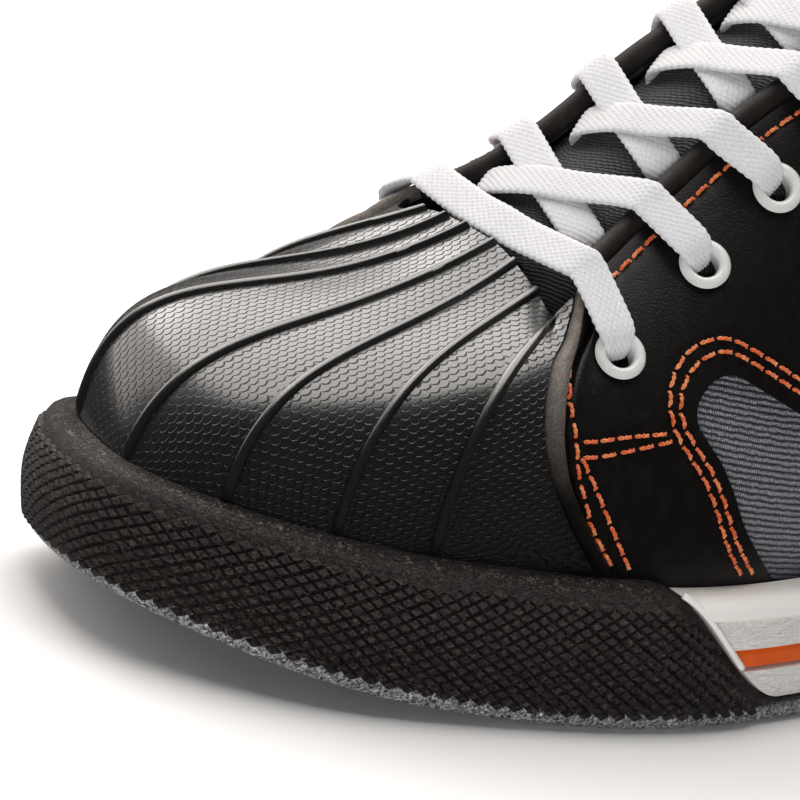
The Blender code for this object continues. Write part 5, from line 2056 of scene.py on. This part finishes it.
    def body(self, side: Side) -> bpy.types.Mesh:
        """Build one quarter.

        Args:
            side: The side of the shoe.

        Returns:
            The mesh.
        """
        last = self.last
        levels = np.concatenate(([self.tuck, self.tuck / 2], np.linspace(0, 1, self.rows)))[:, None]
        front = side.share(last.front_share(levels))
        turn = 1 if side is Side.LATERAL else -1
        wide = last.shares_per_metre(front, levels)
        columns = [front - turn * behind * wide for behind, _ in self.roll]
        heights = [height for _, height in self.roll]
        seam = side.share(last.gap / 2 * last.shares_per_metre(np.zeros(front.shape), levels))
        begin = columns[-1]
        count = int(self.front_reach * last.edge_length / self.spacing)
        for part in np.linspace(0, 1, count)[1:]:
            columns.append(begin + (seam - begin) * part)
            heights.append(last.gap + last.skin)
        shares = np.concatenate(columns, axis=1)
        levels = np.broadcast_to(levels, shares.shape)
        base = last.bare_upper(shares, levels)
        rolled = (np.array(heights) - last.gap - last.skin) * smooth_step(0.0, 0.06, levels)
        face = last.gap + last.skin + rolled - self.sunken(side, base)
        outer = last.point(shares, levels, face)
        inner = last.point(shares, levels, last.gap * (1 + smooth_step(0.5, 1, levels)))
        mesh = sheet("quarter_" + side.value, outer, inner, lengths_uv(base))
        return carve(carve(mesh, self.window.cutter()), self.holes())

    def seam_places(self, side: Side) -> bpy.types.Mesh:
        """Set out every stitch of a quarter.

        Args:
            side: The side of the shoe.

        Returns:
            A mesh with a point for each stitch.
        """
        points, facings, runs = [], [], []
        for row in self.rows_of_stitches(side):
            line = self.last.point(row[:, 0], row[:, 1], np.full(len(row), self.last.gap + self.last.skin))
            length = np.linalg.norm(np.diff(line, axis=0), axis=1).sum()
            count = max(2, int(length / self.seam_pitch))
            fine = open_spline(line, 2 * count + 1)
            normal = self.last.frame(row[:, 0], row[:, 1])[1]
            run = distances(line)
            facing = unit(read_along(normal, run, np.linspace(0, run[-1], 2 * count + 1)[1::2]))
            points.append(fine[1::2] + facing * self.seam_lift)
            runs.append(unit(fine[2::2] - fine[:-2:2]))
            facings.append(facing)
        return placed("stitch_places", np.concatenate(points), np.concatenate(facings), np.concatenate(runs))

    def stitches(self, side: Side, thread: bpy.types.Material) -> bpy.types.Mesh:
        """Grow the stitches: two strands that twist round each other and dive into the leather.

        Args:
            side: The side of the shoe.
            thread: Their material.

        Returns:
            The mesh.
        """
        tree = GrowingTree("stitches", {"Length": 0.0030, "Strand": 0.00025, "Twist": 0.00021, "Turns": 1.3,
                                        "Arch": 0.00030, "Dive": 0.00055})
        line = tree.node("GeometryNodeCurvePrimitiveLine", {
            "Start": tree.vector(tree.size("Length") * -0.5), "End": tree.vector(tree.size("Length") * 0.5)})
        fine = tree.node("GeometryNodeResampleCurve", {"Curve": line.outputs[0], "Count": 9})
        part = tree.signal(tree.node("GeometryNodeSplineParameter", {}).outputs["Factor"])
        middle = (part * 2 - 1).absolute()
        rise = tree.size("Arch") * (1 - middle * middle) - tree.size("Dive") * (middle ** 6)
        strands = []
        for phase in (0.0, math.pi):
            angle = part * tree.size("Turns") * (2 * math.pi) + phase
            offset = tree.vector(0.0, angle.sine() * tree.size("Twist"),
                                 (angle + math.pi / 2).sine() * tree.size("Twist") + rise)
            bent = tree.node("GeometryNodeSetPosition", {"Geometry": fine.outputs[0], "Offset": offset})
            ring = tree.node("GeometryNodeCurvePrimitiveCircle", {
                "Resolution": 5, "Radius": tree.size("Strand")})
            skin = tree.node("GeometryNodeCurveToMesh", {
                "Curve": bent.outputs[0], "Profile Curve": ring.outputs[0], "Fill Caps": True})
            strands.append(skin.outputs[0])
        both = tree.node("GeometryNodeJoinGeometry", {})
        for strand in strands[::-1]:
            tree.tree.links.new(strand, both.inputs[0])
        smooth = tree.node("GeometryNodeSetShadeSmooth", {"Geometry": both.outputs[0]})
        return tree.grow("stitches_" + side.value, smooth.outputs[0], self.seam_places(side), thread)

    def dress(self) -> None:
        """Build both quarters and their stitches."""
        leather, thread = Leather(rolled=0.0042).make(), Thread().make()
        for side in Side:
            stands_for = ["quarter_" + side.value]
            add_piece("quarter_leather_" + side.value, self.body(side), leather, stands_for, 48)
            add_piece("stitches_" + side.value, self.stitches(side, thread), None, (), 180)


@dataclass
class Binding:
    """Rolled leather binding along the edge of the throat and the collar."""

    last: Last
    radius: float = 0.0024
    out: float = 0.0012
    corner: float = 0.336
    rings: int = 420
    sides: int = 16

    def centre(self, share: Any) -> Array:
        """Place the middle of the roll."""
        point, normal, _, up = self.last.frame(share, np.ones(np.shape(share)))
        return point + up * (self.radius + self.last.gap) + normal * self.out

    def dress(self) -> None:
        """Build the roll."""
        shares = np.linspace(-self.corner, self.corner, self.rings)
        _, normal, _, up = self.last.frame(shares, np.ones(len(shares)))
        centre = self.centre(shares)
        run = distances(centre)
        end = np.minimum(run, run[-1] - run)
        swell = np.sqrt(np.clip(1 - (1 - np.clip(end / self.radius, 0, 1)) ** 2, 0.02, 1)) * self.radius
        rings = centre[:, None] + spokes(normal, up, self.sides) * swell[:, None, None]
        round_it = np.arange(self.sides) / self.sides * 2 * math.pi * self.radius
        uvs = np.stack(np.broadcast_arrays(run[:, None], round_it[None, :]), axis=-1)
        leather = Leather("binding_leather", (0.013, 0.011, 0.010), (0.085, 0.068, 0.058), gloss=0.5).make()
        add_piece("binding_roll", tube("binding_roll", rings, uvs), leather, ["binding"], 70)


@dataclass
class Tongue:
    """Padded twill tongue that fills the throat and runs in under the facings and the toe cap."""

    last: Last
    thickness: float = 0.0035
    gap: float = 0.0012
    top: float = 0.018
    columns: int = 61
    rows: int = 150
    # lateral share, medial share, crown, dip
    sections: Sequence[Sequence[float]] = (
        (0.3450, 0.6540, 0.036, 0.015), (0.3271, 0.6721, 0.040, 0.006), (0.3080, 0.6920, 0.036, 0.000),
        (0.2884, 0.7121, 0.033, 0.000), (0.2670, 0.7340, 0.031, 0.000), (0.2449, 0.7562, 0.029, 0.000),
        (0.2250, 0.7755, 0.028, 0.000), (0.2055, 0.7949, 0.027, 0.000), (0.1860, 0.8140, 0.026, 0.000))
    front: Sequence[Sequence[float]] = ((0.375, 0.000), (0.373, 0.004), (0.370, 0.012))
    # part of the top's height, share of the width
    crest: Sequence[Sequence[float]] = ((0.30, 0.95), (0.60, 0.84), (0.84, 0.66), (0.96, 0.44), (1.0, 0.22))
    levels: Sequence[float] = (0.74, 0.88, 1.0)
    sewn: float = 0.0012
    sewn_side: float = 0.08
    sewn_top: float = 0.03

    def row(self, lateral: float, medial: float, crown: float, dip: float) -> Array:
        """Lay one row: under the lateral facing, across the throat, under the medial one.

        Args:
            lateral: Share of its lateral side.
            medial: Share of its medial side.
            crown: How far it rises in the middle, as a share of the ball's width.
            dip: How far it lies under the facings, as the same share.

        Returns:
            Its nine points.
        """
        last, levels = self.last, np.array(self.levels)
        below = np.full(3, -(last.wall + self.gap + dip * last.ball_width))
        near = last.point(np.full(3, lateral), levels, below)
        far = last.point(np.full(3, medial), levels, below)
        chord = far[-1] - near[-1]
        ahead = last.bare_upper(lateral - 0.01, 1.0) - last.bare_upper(lateral + 0.01, 1.0)
        out = unit(np.cross(ahead, chord))
        crown = crown * last.ball_width + last.wall
        middle = [near[-1] + chord * part + out * crown * math.sin(math.pi * part)
                  for part in (0.2, 0.5, 0.8)]
        return np.concatenate((near, middle, far[::-1]))

    def grid(self) -> Array:
        """Lay the coarse grid of the outer face.

        Returns:
            The points, in rows.
        """
        last = self.last
        rows = [last.point(np.linspace(start, 1 - start, 9), np.full(9, level),
                           np.full(9, -(last.wall + self.gap + dip * last.ball_width)))
                for (start, dip), level in zip(self.front, self.levels)]
        rows += [self.row(*section) for section in self.sections]
        lift = unit(rows[-1][4] - rows[-3][4])
        last_row = rows[-1]
        for part, waist in self.crest:
            raised = last_row + lift * self.top * part
            rows.append(raised[4] + (raised - raised[4]) * waist)
        return np.array(rows)

    def dress(self) -> None:
        """Build the tongue as a soft pad with sewn edges."""
        coarse = self.grid()
        wide = np.stack([open_spline(row, self.columns) for row in coarse])
        fine = np.stack([open_spline(wide[:, column], self.rows) for column in range(self.columns)], axis=1)
        normal = unit(np.cross(np.gradient(fine, axis=0), np.gradient(fine, axis=1)))
        across = np.linspace(-1, 1, self.columns)[None, :]
        along = np.linspace(0, 1, self.rows)[:, None]
        edge = (np.clip((1 - np.abs(across)) / self.sewn_side, 0, 1)
                * np.clip((1 - along) / self.sewn_top, 0, 1))
        thin = self.sewn * (1 - np.sin(np.pi / 2 * np.clip(edge, 0, 1)))
        outer = fine - normal * thin[..., None]
        inner = fine - normal * (self.thickness - thin)[..., None]
        mesh = sheet("tongue_pad", outer, inner, lengths_uv(fine))
        cloth = Twill("tongue_twill", (0.006, 0.0065, 0.009), (0.19, 0.20, 0.23), 0.0009, 0.0013, 0.034)
        piece = add_piece("tongue_pad", mesh, cloth.make(), ["tongue"], 60)


@dataclass
class Laces:
    """Flat braided laces: a bar over the first eyelets and four crossings above it."""

    last: Last
    eyelets: EyeletRow
    binding: Binding
    width: float = 0.008
    thickness: float = 0.0015
    clearance: float = 0.0008
    braid: float = 0.00112
    relief: float = 0.00034
    step: float = 0.00027
    face_steps: int = 33
    back_steps: int = 13
    unit_length: float = 0.004
    tuck_in: float = 0.0012
    tuck_down: float = 0.0030
    start: float = 0.25
    parts: Sequence[float] = (0.35, 0.5, 0.65)
    ring_top: float = 0.0011
    # drop from the ring's top, distance towards the throat, lean of the flat side, share of the width
    dive: Sequence[Sequence[float]] = (
        (0.0, 0.0052, 0.0, 1.0), (0.0002, 0.0030, 0.35, 0.90), (0.0019, 0.0013, 0.9, 0.72))
    sink: Sequence[float] = (0.0052, 0.0007, 0.62)
    smoothings: Sequence[int] = (9, 7, 5)
    narrowest: float = 0.5
    slant: Sequence[float] = (0.62, 0.9)
    scallop: float = 0.00022
    bar_heights: Sequence[float] = (0.0, 0.0062, 0.0066, 0.0062)
    over_heights: Sequence[float] = (0.0022, 0.0052, 0.0062, 0.0062)
    under_heights: Sequence[float] = (0.0022, 0.0044, 0.0050, 0.0050)

    def edge(self, share: float) -> Vector:
        """Give the point on the edge of the throat."""
        return Vector(self.last.bare_upper(np.array([share]), np.array([1.0]))[0])

    def roll(self, share: float) -> Vector:
        """Give the middle of the binding."""
        return Vector(self.binding.centre(np.array([share]))[0])

    def over_roll(self, share: float, out: Vector, outwards: Vector, eyelet: tuple) -> list:
        """List the stops from the throat over the binding, to the ring of an eyelet and down its hole.

        Args:
            share: Where the lace crosses the binding.
            out: The way that its flat side faces over the throat.
            outwards: Its way from the throat to the eyelet.
            eyelet: Centre, axis and share of the eyelet.

        Returns:
            Its stops: place, the way that its flat side faces, and share of its width.
        """
        centre, axis, _ = eyelet
        over = (self.binding.radius + self.clearance) / math.cos(math.pi / 8) + self.thickness / 2
        run = (self.roll(share + 0.005) - self.roll(share - 0.005)).normalized()
        high = (out - run * out.dot(run)).normalized()
        outwards = (outwards - run * outwards.dot(run)).normalized()
        stops = []
        for angle in (0, math.pi / 4):
            facing = high * math.cos(angle) + outwards * math.sin(angle)
            stops.append((self.roll(share) + facing * over, facing, 1.0))
        top = self.eyelets.lift + self.ring_top + self.clearance * 0.4 + self.thickness / 2
        away = stops[-1][0] - centre
        away = (away - axis * away.dot(axis)).normalized()
        for drop, near, lean, part in self.dive:
            place = centre + axis * (top - drop) + away * near
            stops.append((place, (axis - away * lean).normalized(), part))
        drop, near, part = self.sink
        stops.append((centre + axis * (top - drop) + away * near, -away, part))
        return stops

    def path(self, share_from: float, share_to: float, eyelet_to: tuple, heights: Sequence[float],
             eyelet_from: tuple | None = None) -> list:
        """Lay a lace from under one facing, or from its eyelet, over the throat and a roll to an eyelet.

        Args:
            share_from: Where it starts, as a share round the sole.
            share_to: Where it crosses the other edge.
            eyelet_to: The eyelet that it enters.
            heights: How high it stands over the line between the edges, from its start.
            eyelet_from: The eyelet that it comes out of, if that shows.

        Returns:
            Its stops: place, the way that its flat side faces, and share of its width.
        """
        start_edge, end_edge = self.edge(share_from), self.edge(share_to)
        start_roll = self.roll(share_from)
        chord = end_edge - start_edge
        ahead = self.edge(share_to + (0.01 if share_to < 0.5 else -0.01)) - end_edge
        out = ahead.cross(chord) if share_to < 0.5 else chord.cross(ahead)
        out = -out.normalized() if out.z < 0 else out.normalized()
        across = chord.normalized()
        if eyelet_from:
            path = self.over_roll(share_from, out, -across, eyelet_from)[::-1]
        else:
            clear = ((start_roll - start_edge).dot(across) + self.binding.radius + 2 * self.clearance
                     + self.thickness)
            path = [(start_edge + across * (clear - self.tuck_in) - out * self.tuck_down,
                     (out * 0.6 + across * 0.8).normalized(), 1.0),
                    (start_edge + across * clear + out * heights[0], out, 1.0)]
        for part, height in zip(self.parts, heights[1:]):
            path.append((start_edge + chord * part + out * height, out, 1.0))
        return path + self.over_roll(share_to, out, across, eyelet_to)

    def strip(self, name: str, path: list) -> bpy.types.Mesh:
        """Skin a lace along its stops, with braid in relief and scalloped edges.

        Args:
            name: Name of the mesh.
            path: The lace's stops.

        Returns:
            The mesh.
        """
        rows = np.array([[*place, *(facing * self.unit_length), part * self.unit_length]
                         for place, facing, part in path])
        count = int(np.linalg.norm(np.diff(rows[:, :3], axis=0), axis=1).sum() / self.step)
        fine = open_spline(rows, count)
        for reach in self.smoothings:
            kernel = np.hanning(2 * reach + 3)[1:-1]
            kernel = kernel / kernel.sum()
            padded = np.pad(fine, ((reach, reach), (0, 0)), mode="reflect", reflect_type="odd")
            fine = np.stack([np.convolve(column, kernel, "valid") for column in padded.T], axis=-1)
        centre, facing, part = fine[:, :3], unit(fine[:, 3:6]), fine[:, 6] / self.unit_length
        ahead = unit(np.gradient(centre, axis=0))
        side = unit(np.cross(ahead, facing))
        up = np.cross(side, ahead)
        run = distances(centre)
        flat = np.concatenate((np.linspace(-1, 1, self.face_steps),
                               np.linspace(1, -1, self.back_steps)[1:-1]))
        above = np.concatenate((np.ones(self.face_steps), -np.ones(self.back_steps - 2)))
        high = above * (1 - flat**6) ** 0.5
        high[[0, self.face_steps - 1]] = 0
        narrow = np.clip(part, self.narrowest, 1)[:, None]
        lengthways, crossways = self.slant
        along = run[:, None] / self.braid * lengthways
        across = flat[None, :] * self.width / 2 / self.braid * crossways
        weave = np.abs(np.sin(np.pi * (along + across))) * np.abs(np.sin(np.pi * (along - across)))
        relief = (weave ** 0.7 - 0.5) * self.relief * (1 - flat[None, :] ** 8)
        scallop = (np.abs(np.sin(np.pi * along)) - 0.5) * self.scallop * np.abs(flat[None, :]) ** 5
        half = self.width / 2 * narrow + scallop
        thick = self.thickness / 2 * (1 + 0.4 * (1 - narrow)) + relief
        rings = (centre[:, None] + side[:, None] * (flat[None, :] * half)[..., None]
                 + up[:, None] * (high[None, :] * thick)[..., None])
        uvs = np.stack(np.broadcast_arrays(run[:, None], flat[None, :] * self.width / 2), axis=-1)
        return tube(name, rings, uvs)

    def dress(self) -> None:
        """Build the bar and the crossings."""
        cotton = LaceCotton().make()
        places = self.eyelets.places()
        first = self.last.eyelets[0][0]
        bar = self.path(1 - first, first, places["lateral_1"], self.bar_heights, places["medial_1"])
        add_piece("lace_1", self.strip("lace_1", bar), cotton, ["lace_bar_1"], 80)
        for number in range(1, len(self.last.eyelets)):
            before, share = self.last.eyelets[number - 1][0], self.last.eyelets[number][0]
            leaves = before + (share - before) * self.start
            meets = share + (before - share) * self.start / 2
            key = str(number + 1)
            path = self.path(1 - leaves, meets, places["lateral_" + key], self.over_heights)
            near = self.strip("near", path)
            far = self.strip("far", self.path(leaves, 1 - meets, places["medial_" + key], self.under_heights))
            add_piece("lace_" + key, joined("lace_" + key, (near, far)), cotton, ["lace_cross_" + key], 80)


# Camera, light and the whole


@dataclass(frozen=True)
class PhotoCamera:
    """The camera of the photograph, set by where it looks and from how far."""

    target: tuple[float, float, float] = (0.010, -0.070, 0.040)
    azimuth: float = 0.82600
    elevation: float = 0.28723
    roll: float = 0.24476
    distance: float = 1.232674
    shift_right: float = 0.014769
    shift_up: float = -0.011257
    lens: float = 283.53

    def axes(self) -> tuple[Vector, Vector, Vector]:
        """Give the camera's right, above and back directions.

        Returns:
            The camera's right, up and backward directions.
        """
        back = Vector((math.sin(self.azimuth) * math.cos(self.elevation),
                       -math.cos(self.azimuth) * math.cos(self.elevation), math.sin(self.elevation)))
        level = Vector((0, 0, 1)).cross(back).normalized()
        upright = back.cross(level)
        return (level * math.cos(self.roll) + upright * math.sin(self.roll),
                upright * math.cos(self.roll) - level * math.sin(self.roll), back)

    def make(self) -> bpy.types.Object:
        """Put the camera in the scene and make it the active one.

        Returns:
            The object.
        """
        right, above, back = self.axes()
        data = bpy.data.cameras.new("photo_camera")
        data.lens, data.sensor_width, data.clip_start, data.clip_end = self.lens, 36.0, 0.05, 20.0
        camera = linked("photo_camera", data)
        place = Vector(self.target) + back * self.distance - right * self.shift_right - above * self.shift_up
        camera.matrix_world = Matrix.Translation(place) @ Matrix((right, above, back)).transposed().to_4x4()
        bpy.context.scene.camera = camera
        return camera


@dataclass(frozen=True)
class Lamp:
    """A soft rectangular lamp that looks at a point."""

    name: str
    place: tuple[float, float, float]
    target: tuple[float, float, float]
    width: float
    height: float
    energy: float
    tint: Colour = (1.0, 1.0, 1.0)
    mirrored: bool = True

    def make(self) -> None:
        """Put the lamp in the scene."""
        lamp = bpy.data.lights.new(self.name, "AREA")
        lamp.shape = "RECTANGLE"
        lamp.size, lamp.size_y, lamp.energy, lamp.color = self.width, self.height, self.energy, self.tint
        holder = linked(self.name, lamp)
        holder.visible_glossy = self.mirrored
        away = Vector(self.place) - Vector(self.target)
        turn = away.to_track_quat("Z", "Y").to_matrix().to_4x4()
        holder.matrix_world = Matrix.Translation(self.place) @ turn


@dataclass(frozen=True)
class Studio:
    """Pale floor, dim surroundings and soft lamps."""

    floor_side: float = 8.0
    floor_grey: float = 0.9
    sky: float = 0.05
    lamps: tuple[Lamp, ...] = (
        Lamp("softbox", (-0.42, 0.16, 1.12), (0.0, -0.08, 0.06), 1.45, 1.7, 32.0, (1.0, 0.965, 0.93)),
        Lamp("far_side", (-1.4, -0.40, 0.80), (0.0, -0.08, 0.05), 1.5, 1.3, 13.0, (1.0, 0.95, 0.91)),
        Lamp("near_side", (1.5, -1.3, 0.25), (0.05, -0.02, 0.02), 0.7, 0.5, 17.0, (0.97, 0.98, 1.0), False))

    def make(self) -> None:
        """Build the floor, the world and the lamps."""
        half = self.floor_side / 2
        mesh = bpy.data.meshes.new("floor")
        corners = [(-half, -half, 0), (half, -half, 0), (half, half, 0), (-half, half, 0)]
        mesh.from_pydata(corners, [], [(0, 1, 2, 3)])
        floor = linked("floor", mesh)
        recipe = Recipe("floor", 0.9)
        cloud = recipe.noise(recipe.place(), 3, 2)
        white = (self.floor_grey,) * 3
        mesh.materials.append(recipe.finish(recipe.blend(cloud * 0.05, white, (0.85, 0.85, 0.85))))
        floor.visible_glossy = False
        world = bpy.data.worlds.new("studio")
        world.use_nodes = True
        sky = world.node_tree.nodes["Background"]
        sky.inputs["Color"].default_value = (1, 1, 1, 1)
        sky.inputs["Strength"].default_value = self.sky
        bpy.context.scene.world = world
        for lamp in self.lamps:
            lamp.make()
        bpy.context.scene.view_settings.view_transform = "Standard"


def main() -> None:
    """Dress the shoe and light it."""
    logging.basicConfig(level=logging.INFO, format="%(name)s: %(message)s")
    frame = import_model()
    PhotoCamera().make()
    last = Last()
    space, eyelets, binding = GuardSpace(last), EyeletRow(last), Binding(last)
    for part in (Outsole(last), Midsole(last, space), FootBed(last), TwillShell(last, eyelets.rods),
                 CollarPad(last), ToeCap(last), Quarters(last, Window(), eyelets.rods), binding, eyelets,
                 Tongue(last), Laces(last, eyelets, binding)):
        part.dress()
    Studio().make()
    LOG.info("dressed %d solids", len(frame["nodes"]))


if __name__ == "__main__":
    main()
